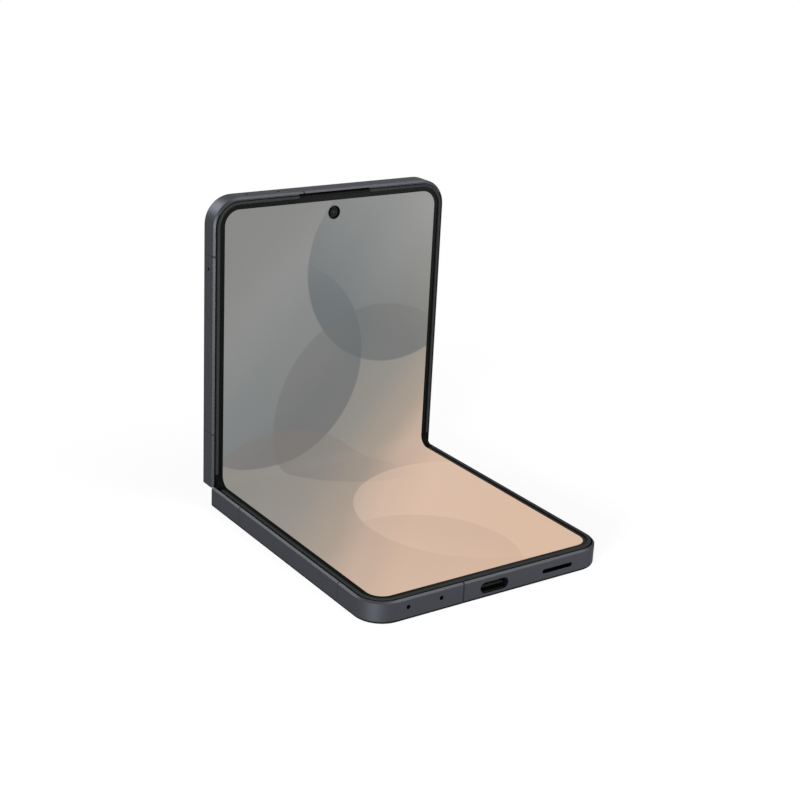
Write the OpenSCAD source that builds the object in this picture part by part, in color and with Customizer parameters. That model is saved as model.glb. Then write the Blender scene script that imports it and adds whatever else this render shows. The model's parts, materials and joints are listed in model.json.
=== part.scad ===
// Foldable clamshell telephone, drawn half open at a right angle.
// The lower half lies on its back and the upper half stands up behind it.
// Each half is drawn lying open and flat, running from the fold towards minus y,
// with its screen plane at z = 0 and its back at z = -thickness.
// The upper half is that same drawing turned round and folded up on the spine.

/* [Overall size] */
// Width across the telephone, equal to the fully opened width
body_w = 75.2; // [70:0.1:80]
// Length of one half from the fold line to its free end
half_len = 83.35; // [78:0.05:90]
// Thickness of one half
thickness = 6.2; // [6.2:0.1:8]
// Corner radius of the frame seen from the front
corner_r = 7.8; // [6:0.1:10]
// Angle through which the two halves are folded as drawn, 0 is flat
fold_angle = 90; // [0:1:180]

/* [Frame] */
// Width of the metal rail round each half
rail_t = 2.2; // [2:0.1:3]
// Width of the outer lip that stands beside the screen surround
lip_t = 0.85; // [0.7:0.05:1.1]
// Chamfer on the screen side of the rail
edge_chamfer = 0.5; // [0.3:0.05:0.6]
// Rounding on the back side of the rail
edge_round = 0.9; // [0.3:0.05:1]
// Free space left at the fold line in front of each rail end
end_gap = 0.3; // [0.2:0.05:0.5]
// Thickness of the web that carries the screen
web_t = 0.6; // [0.5:0.05:0.9]
// Width of a plastic aerial break in the rail
aerial_w = 0.5; // [0.4:0.1:1.4]
// Depth of an aerial break into the rail
aerial_depth = 1.2; // [0.9:0.1:1.5]

/* [Screen] */
// Visible border beside the screen
border_side = 3.25; // [2.8:0.05:3.6]
// Visible border at the free ends
border_end = 3.15; // [2.8:0.05:3.6]
// Corner radius of the visible screen
screen_r = 4.4; // [3.5:0.1:5.5]
// Thickness of the screen panel
screen_t = 0.5; // [0.4:0.05:0.6]
// Gap between the lip of the rail and the surround
seam = 0.2; // [0.1:0.05:0.3]
// Height of the surround's raised rim above the screen
surround_rise = 0.3; // [0.2:0.05:0.3]
// Width of the surround's raised rim
rim_w = 1.05; // [0.8:0.05:1.3]
// Height of the surround's inner strip above the screen
strip_rise = 0.1; // [0.05:0.05:0.15]
// Distance from the fold line to the end of the rigid screen and surround
fold_zone = 4.4; // [4.2:0.1:5.5]
// Inside radius of the screen in the fold as drawn
fold_r = 3.2; // [2.8:0.1:3.4]
// Thickness of the glass on both backs
glass_t = 0.45; // [0.45:0.05:0.6]
// Width of the metal border left round the back glass
glass_inset = 1.3; // [1:0.1:1.6]

/* [Hinge] */
// Distance of each turning axis from the fold line, measured flat
pivot_y = 1.8; // [1.7:0.05:1.9]
// Depth of the turning axes below the screen plane
pivot_z = 1.45; // [1.35:0.05:1.55]
// Depth of the spine below the screen plane, measured flat
spine_depth = 5.4; // [5.3:0.05:5.4]
// Wall thickness of the spine cover
spine_wall = 0.45; // [0.4:0.05:0.5]
// Gap between the end of the spine and the side rail
spine_end_gap = 0.3; // [0.2:0.05:0.4]
// Running clearance in the arc grooves and on the gear pins
run_fit = 0.05; // [0.03:0.01:0.08]
// Distance of each hinge mechanism's middle from the end of the spine
mech_inset = 10.1; // [10:0.1:12]
// Gear module
gear_m = 0.2; // [0.2:0.01:0.2]
// Teeth on a full circle of an arm gear
arm_teeth = 16; // [16:1:16]
// Teeth on an idler gear
idler_teeth = 9; // [9:1:9]
// Inner radius of the arc rib on each rotator
arc_r1 = 2.3; // [2.25:0.05:2.4]
// Outer radius of the arc rib on each rotator
arc_r2 = 3.0; // [2.9:0.05:3.05]

/* [Ports and keys] */
// Width of the charging socket opening
usb_w = 8.94; // [8.9:0.01:9]
// Height of the charging socket opening
usb_h = 3.16; // [3.1:0.01:3.3]
// Length of the loudspeaker slot
speaker_len = 10; // [8:0.5:12]
// Height of the loudspeaker slot
speaker_h = 1.2; // [1:0.1:1.5]
// Diameter of the microphone holes
mic_d = 1.2; // [0.8:0.1:1.2]
// Height of the lower half's microphone holes above the middle of the rail
mic_rise = 0.6; // [0:0.1:0.7]
// Length of the volume key
volume_len = 16; // [14:0.5:17]
// Length of the side key
side_len = 14; // [12:0.5:15]
// Height of both keys
key_h = 2.2; // [1.8:0.1:2.6]
// How far the keys stand out of the rail
key_rise = 0.35; // [0.3:0.05:0.5]
// Gap round the keys and the card tray
key_gap = 0.08; // [0.05:0.01:0.12]
// Length of the card tray front
tray_len = 15.8; // [15:0.1:17]
// Height of the card tray front
tray_h = 2.4; // [2.2:0.1:2.6]
// Diameter of the eject pin hole
eject_d = 0.9; // [0.8:0.05:1]

/* [Cameras] */
// Outer radius of a rear camera ring
ring_r = 6.1; // [5.5:0.1:6.5]
// How far the rear camera rings stand out of the back
ring_rise = 1.2; // [0.8:0.1:1.6]
// Radius of the window over a rear camera
window_r = 4.7; // [4.5:0.05:4.9]
// Radius of the lens barrel behind the window
barrel_r = 4.2; // [3.9:0.1:4.3]
// Distance between the two rear camera centres
camera_pitch = 14.4; // [13.5:0.1:16]
// Distance of the rear cameras from the free end of the upper half
camera_end = 10.35; // [9.5:0.05:12]
// Distance of the first rear camera from the side of the upper half
camera_side = 11; // [10:0.1:12]
// Diameter of the hole in the screen for the front camera
front_hole_d = 3.5; // [3:0.1:4]
// Distance of the front camera from the free end
front_end = 6.65; // [6:0.05:7.5]
// Length of the earpiece slot
ear_len = 23; // [20:0.5:25]

/* [Hidden] */
$fn = 48;
hw = body_w/2;
half_angle = fold_angle/2;
// where the flat frame of the upper half ends up against the lower half
spine_c = cos(half_angle);
spine_s = sin(half_angle);
up_y = -pivot_y + 2*pivot_y*spine_c
     + (-pivot_y)*cos(fold_angle) - pivot_z*sin(fold_angle);
up_z = -pivot_z + 2*pivot_y*spine_s
     + (-pivot_y)*sin(fold_angle) + pivot_z*cos(fold_angle);
back_y = up_y + (thickness + ring_rise)*sin(fold_angle);
shift_y = (half_len - back_y)/2;
web_top = -screen_t - 0.15;
rim_x = lip_t + seam;
skirt_x = lip_t + 0.9;
panel_x = skirt_x + 0.05;
web_bot = web_top - web_t;
glass_top = -thickness + glass_t;
spine_r = spine_depth - pivot_z;
spine_in = spine_r - spine_wall;
trough_r = spine_r + 0.1;
spine_hl = hw - rail_t - spine_end_gap;
mech_x = spine_hl - mech_inset;
mech_hl = mech_inset - 0.7;
arm_pr = gear_m*arm_teeth/2;
idler_pr = gear_m*idler_teeth/2;
idler_y = idler_pr;
idler_z = -pivot_z - sqrt(pow(arm_pr + idler_pr, 2) - pow(pivot_y - idler_y, 2));
mesh_dir = atan2(idler_z + pivot_z, pivot_y - idler_y);
port_z = -thickness/2;
bar_top = web_top;
bar_bot = -pivot_z + 0.1;
pad_u = 12;
board_top = web_bot;
board_t = 0.8;
board_bot = board_top - board_t;
volume_u = half_len - 16.35;
side_u = half_len - 40.35;
tray_u = half_len - 25.85;
eject_u = half_len - 19.55;
port_u = half_len - 23.35;
main_u = half_len - 38.85;
cell_u = pad_u + 1.5;
cell_low_u = port_u - 2.5;
cell_up_u = main_u - 3;
cell_hx = hw - 7.6;
cell_mid = (cell_u + cell_low_u)/2;
coil_r = (cell_low_u - cell_u)/2 - 1.6;
camera_u = half_len - camera_end;
front_u = half_len - front_end;
camera_x = [-(hw - camera_side), -(hw - camera_side - camera_pitch)];
flash_x = camera_x[1] + 9.8;
barrel_top = -thickness - ring_rise + 0.95;
barrel_bot = -4.6;
well_r = barrel_r - 2.3;
ring_in = window_r + 0.05;

// placing of the three groups
module at_lower() { translate([0, shift_y, thickness]) children(); }
module at_spine() {
    at_lower() translate([0, -pivot_y, -pivot_z]) rotate([half_angle, 0, 0])
        translate([0, pivot_y, pivot_z]) children();
}
module at_upper() {
    at_spine() translate([0, pivot_y, -pivot_z]) rotate([half_angle, 0, 0])
        translate([0, -pivot_y, pivot_z]) rotate([0, 0, 180]) children();
}

// a drawing in the y z plane, drawn out along x
module along_x(x0, x1) { translate([x0, 0, 0]) rotate([90, 0, 90]) linear_extrude(x1 - x0) children(); }
// a drawing in the x y plane between two heights
module slab(z0, z1) { translate([0, 0, z0]) linear_extrude(z1 - z0) children(); }
module box(x0, x1, y0, y1, z0, z1) { translate([x0, y0, z0]) cube([x1 - x0, y1 - y0, z1 - z0]); }
module rod(x, y, z0, z1, r) { translate([x, y, z0]) cylinder(r = r, h = z1 - z0); }
module round_rect(x0, x1, y0, y1, r) {
    translate([x0 + r, y0]) square([x1 - x0 - 2*r, y1 - y0]);
    translate([x0, y0 + r]) square([x1 - x0, y1 - y0 - 2*r]);
    for (x = [x0 + r, x1 - r], y = [y0 + r, y1 - r]) translate([x, y]) circle(r);
}
// a drawing in the x z plane between two places along y
module along_y(y0, y1) { translate([0, y1, 0]) rotate([90, 0, 0]) linear_extrude(y1 - y0) children(); }

// outline of one half, moved in by a border, from u0 past the fold, round at the free end
module half_plate(inset, u0, r, end_inset = -1) {
    w = hw - inset;
    l = half_len - (end_inset < 0 ? inset : end_inset);
    translate([-w, -(l - r)]) square([2*w, l - r - u0]);
    translate([-(w - r), -l]) square([2*(w - r), r]);
    for (s = [-1, 1]) translate([s*(w - r), -(l - r)]) circle(r);
}

// section of the rail: outside at x = 0, screen plane at y = 0
module rail_section() {
    // tall lip with a chamfer on the screen side
    polygon([[-lip_t, -thickness + edge_round], [0, -thickness + edge_round],
        [0, -edge_chamfer], [-edge_chamfer, 0], [-lip_t, 0]]);
    // rounded edge on the back
    translate([-edge_round, -thickness + edge_round]) intersection() {
        circle(edge_round);
        translate([0, -edge_round]) square(edge_round);
    }
    translate([-glass_inset, -thickness]) square([glass_inset - edge_round, edge_round]);
    translate([-glass_inset, -thickness + edge_round]) square([glass_inset, thickness - edge_round + web_top]);
    // inner part below the screen panel and above the back glass
    translate([-rail_t, glass_top]) square([rail_t - glass_inset, web_top - glass_top]);
}
module rail_ring() {
    l = half_len - corner_r;
    translate([hw, -end_gap, 0]) rotate([90, 0, 0]) linear_extrude(l - end_gap) rail_section();
    translate([-hw, -l, 0]) rotate([0, 0, 180]) rotate([90, 0, 0])
        linear_extrude(l - end_gap) rail_section();
    translate([hw - corner_r, -half_len, 0]) rotate([0, 0, -90]) rotate([90, 0, 0])
        linear_extrude(body_w - 2*corner_r) rail_section();
    translate([hw - corner_r, -l, 0]) rotate([0, 0, -90]) rotate_extrude(angle = 90)
        translate([corner_r, 0]) rail_section();
    translate([-(hw - corner_r), -l, 0]) rotate([0, 0, 180]) rotate_extrude(angle = 90)
        translate([corner_r, 0]) rail_section();
}
// beam along the fold: a floor under the spine, the wall of its trough and a screw pad
module fold_beam() along_x(-hw + 1, hw - 1) difference() {
    union() {
        translate([-pad_u, bar_bot - 1.85]) square([pad_u - pivot_y - 0.5, 1.85]);
        translate([-pivot_y - trough_r - 1.4, glass_top])
            square([trough_r + 1.4 + pivot_y - end_gap, bar_bot - glass_top]);
    }
    translate([-pivot_y, -pivot_z]) circle(trough_r);
    translate([-pivot_y, -pivot_z - trough_r]) square([pivot_y + 1, trough_r + 1]);
    translate([-pivot_y - trough_r, -pivot_z]) square([trough_r, 1]);
}
// what is taken off the screen side of each rail end so that the halves clear each other
module end_relief() {
    along_x(-hw - 1, hw + 1) difference() {
        translate([-pivot_y, -pivot_z]) square([pivot_y + 1, pivot_z + 1]);
        translate([-pivot_y, -pivot_z]) circle(pivot_y - 0.08);
    }
}
module rail_cut(u, side, w) {
    // a break in a side rail, from the outside to the depth of the aerial filling
    box(side > 0 ? hw - aerial_depth : -hw - 1, side > 0 ? hw + 1 : -hw + aerial_depth,
        -u - w/2, -u + w/2, -thickness - 1, 1);
}
module end_cut(x, w) { box(x - w/2, x + w/2, -half_len - 1, -half_len + aerial_depth, -thickness - 1, 1); }
module aerial_fill(places, end_x) {
    intersection() {
        rail_ring();
        union() {
            for (p = places) rail_cut(p[0], p[1], aerial_w);
            end_cut(end_x, aerial_w);
        }
    }
}
module arm_pockets() {
    for (s = [-1, 1]) translate([s*mech_x, 0, 0])
        box(-6.3, 2.2, -pad_u + 0.4, -pivot_y, bar_bot, 1);
}
module arm_holes() {
    for (s = [-1, 1], x = [-4.4, -0.3]) rod(s*mech_x + x, -9.4, bar_bot - 1.5, 0, 0.5);
}
far_u = half_len - 15.65;
speaker_x = hw - 21.8;
near_u = 16.4;
aerials_low = [[near_u, -1], [far_u, -1], [near_u, 1], [far_u, 1]];
aerials_up = [[near_u, -1], [far_u - 12.2, -1], [near_u, 1], [far_u, 1]];
// the breaks in the free ends meet when the telephone is closed
end_break_x = 9.8;
screws_low = [[6.1 - hw, port_u + 2.5], [hw - 6.1, port_u + 0.9], [-11, port_u + 2.5],
    [9, port_u + 2.5], [-9.3, half_len - 4.55], [9.3, half_len - 4.55]];
screws_up = [[5.6 - hw, main_u + 2], [hw - 5.6, main_u + 2], [17.2 - hw, main_u + 2],
    [hw - 5.6, half_len - 5.35], [hw - 17.1, half_len - 5.35], [hw - 16.1, main_u + 2]];
mics_low = [10.9 - hw, 20.95 - hw];
mics_up = [hw - 11.4, hw - 21.3];
ear_x = mics_up[1] - 2.2;
ear_edge = 0.5;
ear_floor = -1.3;

module half_frame_body(cuts, end_x) {
    difference() {
        union() {
            rail_ring();
            slab(web_bot, web_top) half_plate(rail_t - 0.4, pivot_y + trough_r - 0.2, corner_r - rail_t + 0.4);
            fold_beam();
        }
        end_relief();
        for (p = cuts) rail_cut(p[0], p[1], aerial_w);
        end_cut(end_x, aerial_w);
        arm_pockets();
        arm_holes();
    }
}

module lower_frame() color("DimGray") at_lower() difference() {
    half_frame_body(aerials_low, -end_break_x);
    // charging socket, loudspeaker slot and microphone holes in the free end
    along_y(-half_len - 1, -half_len + rail_t + 0.1)
        round_rect(-usb_w/2, usb_w/2, port_z - usb_h/2, port_z + usb_h/2, usb_h/2 - 0.01);
    along_y(-half_len - 1, -half_len + rail_t + 0.1)
        round_rect(speaker_x, speaker_x + speaker_len, port_z - speaker_h/2, port_z + speaker_h/2, speaker_h/2 - 0.01);
    for (x = mics_low) translate([x, -half_len + rail_t + 0.1, port_z + mic_rise]) rotate([90, 0, 0])
        cylinder(d = mic_d, h = rail_t + 1);
    for (p = screws_low) rod(p[0], -p[1], web_bot - 0.1, web_top + 0.1, 0.6);
}
module upper_frame() color("DimGray") at_upper() difference() {
    half_frame_body(aerials_up, end_break_x);
    // microphone holes and the earpiece slot at the free end
    for (x = mics_up) translate([x, -half_len + rail_t + 0.1, port_z]) rotate([90, 0, 0])
        cylinder(d = 0.75*mic_d, h = rail_t + 1);
    slab(ear_floor, 1) round_rect(-ear_len/2, ear_len/2, -half_len + ear_edge, -half_len + 0.93, 0.21);
    box(-ear_len/2 + 1, ear_len/2 - 1, -half_len + 0.6, -half_len + rail_t + 0.5, -1.25, -0.85);
    // front camera
    rod(0, -front_u, web_bot - 1, 1, front_hole_d/2 + 0.15);
    // keys
    for (k = [[volume_u, volume_len], [side_u, side_len]])
        translate([-hw - 1, 0, 0]) along_x_slot(k[0], k[1] + 2*key_gap, key_h + 2*key_gap, 1 + rail_t + 0.1);
    for (k = [[volume_u, volume_len], [side_u, side_len]])
        box(-hw + 0.9, -hw + rail_t + 0.1, -k[0] - k[1]/2 - 0.6, -k[0] + k[1]/2 + 0.6,
            port_z - key_h/2 - 0.6, port_z + key_h/2 + 0.6);
    // card tray
    translate([hw - rail_t - 0.1, 0, 0])
        along_x_slot(tray_u, tray_len + 2*key_gap, tray_h + 2*key_gap, rail_t + 2);
    for (p = screws_up) rod(p[0], -p[1], web_bot - 0.1, web_top + 0.1, 0.6);
}
// a slot with round ends in a side rail, l long and h high, cut d deep along x from x = 0
module along_x_slot(u, l, h, d) {
    along_x(0, d) round_rect(-u - l/2, -u + l/2, port_z - h/2, port_z + h/2, h/2 - 0.01);
}

module aerial_breaks_lower() color("SlateGray") at_lower() aerial_fill(aerials_low, -end_break_x);
module aerial_breaks_upper() color("SlateGray") at_upper() difference() {
    aerial_fill(aerials_up, end_break_x);
    // the earpiece slot runs on through the break
    box(-ear_len/2, ear_len/2, -half_len + ear_edge, -half_len + rail_t, ear_floor, 1);
}

module back_plate(z0, z1, extra) slab(z0, z1)
    half_plate(glass_inset + extra, 1.4 + extra, corner_r - glass_inset - extra);
module back_glass_lower() color("SlateGray") at_lower() back_plate(-thickness, glass_top, 0.05);
module cover_glass() color("Black") at_upper() difference() {
    back_plate(-thickness, glass_top, 0.05);
    for (x = camera_x) rod(x, -camera_u, -thickness - 1, glass_top + 1, ring_r + 0.05);
    rod(flash_x, -camera_u, -thickness - 1, glass_top + 1, 1.65);
}
module cover_panel() color("DarkSlateGray") at_upper() difference() {
    slab(glass_top, glass_top + 0.45) half_plate(2.6, 7.8, corner_r - 2.6);
    for (x = camera_x) rod(x, -camera_u, glass_top - 1, glass_top + 1, ring_r + 0.2);
    rod(flash_x, -camera_u, glass_top - 1, glass_top + 1, 1.8);
}

// surround of the screen: a raised rim, a lower strip that frames the picture,
// and a skirt that stands on the web
module surround_part(z0, z1, inner, inner_r, inner_end) slab(z0, z1) difference() {
    half_plate(rim_x, fold_zone, corner_r - rim_x);
    half_plate(inner, fold_zone - 1, inner_r, inner_end);
}
module surround() {
    surround_part(strip_rise, surround_rise, rim_x + rim_w, corner_r - rim_x - rim_w, rim_x + rim_w);
    surround_part(0, strip_rise, border_side, screen_r, border_end);
    surround_part(web_top, 0, skirt_x, corner_r - skirt_x, skirt_x);
}
module panel(z0, z1, inset, u0) slab(z0, z1) half_plate(inset, u0, corner_r - inset);
module surround_lower() color("Black") at_lower() surround();
module surround_upper() color("Black") at_upper() surround();
module screen_lower() color("RosyBrown") at_lower() panel(-screen_t, 0, panel_x, fold_zone);
module screen_upper() color("Gray") at_upper() difference() {
    panel(-screen_t, 0, panel_x, fold_zone);
    rod(0, -front_u, -screen_t - 1, 1, front_hole_d/2);
}
module support_plate_lower() color("Silver") at_lower() panel(web_top, -screen_t, panel_x + 0.1, 2.2);
module support_plate_upper() color("Silver") at_upper() difference() {
    panel(web_top, -screen_t, panel_x + 0.1, 2.2);
    rod(0, -front_u, -screen_t - 1, 1, front_hole_d/2 + 0.1);
}

// flexible screen in the fold, drawn as it lies at the drawn angle
module fold_strip(r1, r2, x0, x1) {
    cy = up_y - fold_r;
    along_x(x0, x1) {
        translate([-fold_zone, fold_r - r2]) square([fold_zone + cy, r2 - r1]);
        translate([cy, fold_r]) intersection() {
            difference() { circle(r2); circle(r1); }
            translate([0, -r2]) square([r2, r2]);
        }
        translate([cy + r1, fold_r]) square([r2 - r1, up_z + fold_zone - fold_r]);
    }
}
module screen_fold() color("RosyBrown") at_lower()
    fold_strip(fold_r, fold_r + screen_t - 0.05, -(hw - panel_x), hw - panel_x);
module fold_seals() color("Black") at_lower() for (s = [-1, 1])
    fold_strip(fold_r - 0.12, fold_r, s > 0 ? hw - border_side : -(hw - rim_x),
        s > 0 ? hw - rim_x : -(hw - border_side));

// spine
module spine_section(r, top) {
    intersection() {
        union() for (s = [-1, 1]) translate([s*pivot_y, -pivot_z]) circle(r);
        translate([-10, -20]) square([20, 20 - pivot_z]);
    }
    translate([-pivot_y, -pivot_z - r]) square([2*pivot_y, r]);
}
boss_x = [-mech_hl + 1.3, mech_hl - 1.3];
module spine_cover() color("Silver") at_spine() {
    along_x(-spine_hl + 0.6, spine_hl - 0.6) difference() {
        spine_section(spine_r);
        spine_section(spine_in);
        translate([-pivot_y - spine_in, -pivot_z - 0.01]) square([2*(pivot_y + spine_in), 1]);
    }
    for (s = [-1, 1], x = boss_x) difference() {
        rod(s*mech_x + x, 0, -spine_depth + 0.2, -3.6, 1.2);
        rod(s*mech_x + x, 0, -4.9, -3, 0.45);
    }
}
module spine_caps() color("Black") at_spine() for (s = [-1, 1])
    along_x(s > 0 ? spine_hl - 0.6 : -spine_hl, s > 0 ? spine_hl : -spine_hl + 0.6) spine_section(spine_r);

// bracket with two arc grooves and a gear bay between two cheeks
module ring_part(r1, r2, a0, a1) {
    // ring sector of the pivot at the left, by wedges of at most a right angle
    translate([-pivot_y, -pivot_z]) intersection() {
        difference() { circle(r2); circle(r1); }
        union() for (i = [0:1]) {
            s0 = a0 + (a1 - a0)*i/2;
            s1 = a0 + (a1 - a0)*(i + 1)/2;
            sm = (s0 + s1)/2;
            polygon([[0, 0], 5*[cos(s0), sin(s0)], 5*[cos(sm), sin(sm)], 5*[cos(s1), sin(s1)]]);
        }
    }
}
module mech_bracket() {
    difference() {
        along_x(-mech_hl, mech_hl) intersection() {
            spine_section(spine_in - 0.03);
            translate([-10, -pivot_z - 9 - 0.75]) square([20, 9]);
        }
        // arc grooves
        for (t = [0, 180]) rotate([0, 0, t]) {
            along_x(-6.3, -2.95) ring_part(arc_r1 - run_fit, arc_r2 + run_fit, 170, 318);
        }
        // gear bay
        along_x(-2.4, 2.4) {
            translate([-3.7, -9]) square([7.4, 9]);
        }
        // bores of the two gear pins
        for (s = [-1, 1]) translate([0, s*idler_y, idler_z]) rotate([0, 90, 0])
            translate([0, 0, -2.96]) cylinder(r = 0.35 + run_fit, h = 5.92);
        // screw bosses of the spine cover
        for (x = boss_x) {
            rod(x, 0, -9, -3.6, 1.25);
            rod(x, 0, -3.7, -2, 0.5);
            rod(x, 0, -2.9, -1, 0.95);
        }
    }
}
module hinge_brackets() color("LightSlateGray") at_spine()
    for (s = [-1, 1]) translate([s*mech_x, 0, 0]) mech_bracket();
module bracket_screws() color("DarkGray") at_spine() for (s = [-1, 1], x = boss_x) {
    rod(s*mech_x + x, 0, -4.7, -2.9, 0.4);
    difference() {
        rod(s*mech_x + x, 0, -2.9, -2.4, 0.85);
        rod(s*mech_x + x, 0, -2.6, -2, 0.3);
    }
}

// gears, drawn in the y z plane as they stand in mesh
module teeth(n, pr, a0, count) {
    for (i = [0:count - 1]) rotate(a0 + i*360/n)
        polygon([[pr - 1.5*gear_m, -0.17], [pr, -0.11], [pr + 0.9*gear_m, -0.045],
            [pr + 0.9*gear_m, 0.045], [pr, 0.11], [pr - 1.5*gear_m, 0.17]]);
}
module idler(phase) {
    along_x(-2.1, 2.1) { circle(idler_pr - 1.2*gear_m); teeth(idler_teeth, idler_pr, phase, idler_teeth); }
    rotate([0, 90, 0]) translate([0, 0, -2.9]) cylinder(r = 0.35, h = 5.8);
}
module idler_gear_lower() color("Goldenrod") at_spine() for (s = [-1, 1])
    translate([s*mech_x, -idler_y, idler_z]) idler(mesh_dir + 180 + 180/idler_teeth);
module idler_gear_upper() color("Goldenrod") at_spine() for (s = [-1, 1])
    translate([s*mech_x, idler_y, idler_z]) idler(180 - mesh_dir - 180);

// arm with a toothed sector round the turning axis of its half
// the sector stands in the frame of the half, so the mesh direction is turned by half the fold
module gear_arm(half_pitch) {
    step = 360/arm_teeth;
    along_x(-2.1, -0.3) {
        difference() {
            translate([-pivot_y, -pivot_z]) circle(arm_pr - 1.2*gear_m);
            translate([-10, bar_top]) square([20, 5]);
        }
        translate([-pivot_y, -pivot_z])
            teeth(arm_teeth, arm_pr, mesh_dir + half_angle - 2*step + (half_pitch ? step/2 : 0), half_pitch ? 4 : 5);
        translate([-7, bar_bot]) square([7 - pivot_y, bar_top - bar_bot]);
    }
    difference() {
        box(-2.1, 2.0, -pad_u + 0.5, -6.2, bar_bot, bar_top);
        rod(-0.3, -9.4, bar_bot - 1, 1, 0.5);
        rod(-0.3, -9.4, bar_top - 0.4, 1, 0.95);
    }
}
module rotator() {
    along_x(-6.2, -3.05) {
        difference() {
            ring_part(arc_r1, arc_r2, 160, 312);
            translate([-10, bar_top]) square([20, 5]);
        }
        translate([-7, bar_bot]) square([7 - pivot_y - arc_r1 - 0.15, bar_top - bar_bot]);
    }
    difference() {
        box(-6.2, -2.3, -pad_u + 0.5, -6.2, bar_bot, bar_top);
        rod(-4.4, -9.4, bar_bot - 1, 1, 0.5);
        rod(-4.4, -9.4, bar_top - 0.4, 1, 0.95);
    }
}
module arm_screws() for (s = [-1, 1], x = [-4.4, -0.3]) {
    rod(s*mech_x + x, -9.4, bar_bot - 1.4, bar_top - 0.4, 0.45);
    difference() {
        rod(s*mech_x + x, -9.4, bar_top - 0.4, bar_top, 0.85);
        rod(s*mech_x + x, -9.4, bar_top - 0.2, bar_top + 1, 0.3);
    }
}
module rotator_lower() color("LightSteelBlue") at_lower() for (s = [-1, 1]) translate([s*mech_x, 0, 0]) rotator();
module rotator_upper() color("LightSteelBlue") at_upper() for (s = [-1, 1]) translate([s*mech_x, 0, 0]) rotator();
module gear_arm_lower() color("Khaki") at_lower() for (s = [-1, 1]) translate([s*mech_x, 0, 0]) gear_arm(false);
module gear_arm_upper() color("Khaki") at_upper() for (s = [-1, 1]) translate([s*mech_x, 0, 0]) gear_arm(true);
module arm_screws_lower() color("DarkGray") at_lower() arm_screws();
module arm_screws_upper() color("DarkGray") at_upper() arm_screws();

// inside of the lower half
module battery(u0, u1, z0) {
    slab(z0, web_bot) round_rect(-cell_hx, cell_hx, -u1, -u0, 1.5);
    // connector tab at the far end
    box(-6, 6, -u1 - 1.6, -u1 + 0.5, web_bot - 1.2, web_bot);
}
module battery_lower() color("DarkSlateGray") at_lower() battery(cell_u, cell_low_u, glass_top + 0.55);
module battery_upper() color("DarkSlateGray") at_upper() battery(cell_u, cell_up_u, glass_top + 0.5);
module shield_sheet() color("DimGray") at_lower() slab(glass_top + 0.35, glass_top + 0.55)
    round_rect(6 - cell_hx, cell_hx - 6, -cell_low_u + 0.5, -cell_u - 0.5, 2);
module charging_coil() color("Peru") at_lower() slab(glass_top + 0.05, glass_top + 0.35)
    for (i = [0:7]) translate([0, -cell_mid]) difference() {
        circle(coil_r - i*1.5);
        circle(coil_r - i*1.5 - 1.3);
    }
module port_board() color("DarkGreen") at_lower() difference() {
    slab(board_bot, board_top) half_plate(rail_t + 0.5, port_u, corner_r - rail_t - 0.5);
    box(-usb_w/2 - 0.3, usb_w/2 + 0.3, -half_len, -half_len + 8.4, board_bot - 1, board_top + 1);
    for (p = screws_low) rod(p[0], -p[1], board_bot - 1, board_top + 1, 0.6);
}
module usb_shell() color("Silver") at_lower() difference() {
    along_y(-half_len + 0.35, -half_len + 8)
        round_rect(-usb_w/2 + 0.02, usb_w/2 - 0.02, port_z - usb_h/2 + 0.02, port_z + usb_h/2 - 0.02, usb_h/2 - 0.03);
    along_y(-half_len - 1, -half_len + 7.2)
        round_rect(-4.17, 4.17, port_z - 1.28, port_z + 1.28, 1.27);
}
module usb_tongue() color("Black") at_lower() along_y(-half_len + 1.0, -half_len + 7.2)
    round_rect(-3.35, 3.35, port_z - 0.35, port_z + 0.35, 0.2);
module speaker_box() color("Black") at_lower() difference() {
    slab(glass_top + 0.25, board_bot)
        round_rect(speaker_x - 5, speaker_x + 14, -half_len + rail_t + 0.1, -port_u - 2, 1.2);
    box(speaker_x, speaker_x + speaker_len, -half_len, -half_len + rail_t + 2.5,
        port_z - speaker_h/2, port_z + speaker_h/2);
    for (p = screws_low) rod(p[0], -p[1], board_bot - 1, board_top + 1, 1.4);
}
module speaker_mesh() color("DarkSlateGray") at_lower() difference() {
    along_y(-half_len + rail_t - 0.6, -half_len + rail_t - 0.3)
        round_rect(speaker_x + 0.05, speaker_x - 0.05 + speaker_len,
            port_z - speaker_h/2 + 0.05, port_z + speaker_h/2 - 0.05, speaker_h/2 - 0.06);
    for (i = [0:11]) translate([speaker_x + speaker_len*(0.08 + i*0.076), -half_len + rail_t, port_z]) rotate([90, 0, 0])
        cylinder(d = 0.45, h = 1);
}
module vibration_motor() color("Silver") at_lower() slab(glass_top + 0.3, board_bot)
    round_rect(6.6 - hw, 16.6 - hw, -half_len + 7.35, -half_len + 17.35, 1.5);
module mic(x, u1, z) difference() {
    box(x - 1.6, x + 1.6, -u1, -u1 + 2.2, z - 1.2, board_bot);
    translate([x, -u1 + 1, z]) rotate([90, 0, 0]) cylinder(d = 0.6, h = 2);
}
module microphones_lower() color("Gold") at_lower() for (x = mics_low) mic(x, half_len - rail_t, port_z + mic_rise);
module microphones_upper() color("Gold") at_upper() for (x = mics_up) mic(x, half_len - rail_t, port_z);
module carrier_lower() color("Black") at_lower() difference() {
    slab(glass_top + 0.03, glass_top + 0.25) half_plate(rail_t + 0.3, port_u, corner_r - rail_t - 0.3);
    box(-6, 6, -half_len, -half_len + 9, -thickness, 0);
}
module small_screws(places) for (p = places) {
    rod(p[0], -p[1], board_bot, web_top - 0.05, 0.55);
    difference() {
        rod(p[0], -p[1], board_bot - 0.5, board_bot, 1.1);
        translate([p[0], -p[1], board_bot - 0.6]) cylinder(r = 0.4, h = 0.4, $fn = 6);
    }
}
module screws_lower() color("DarkGray") at_lower() small_screws(screws_low);
module screws_upper() color("DarkGray") at_upper() small_screws(screws_up);

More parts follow.
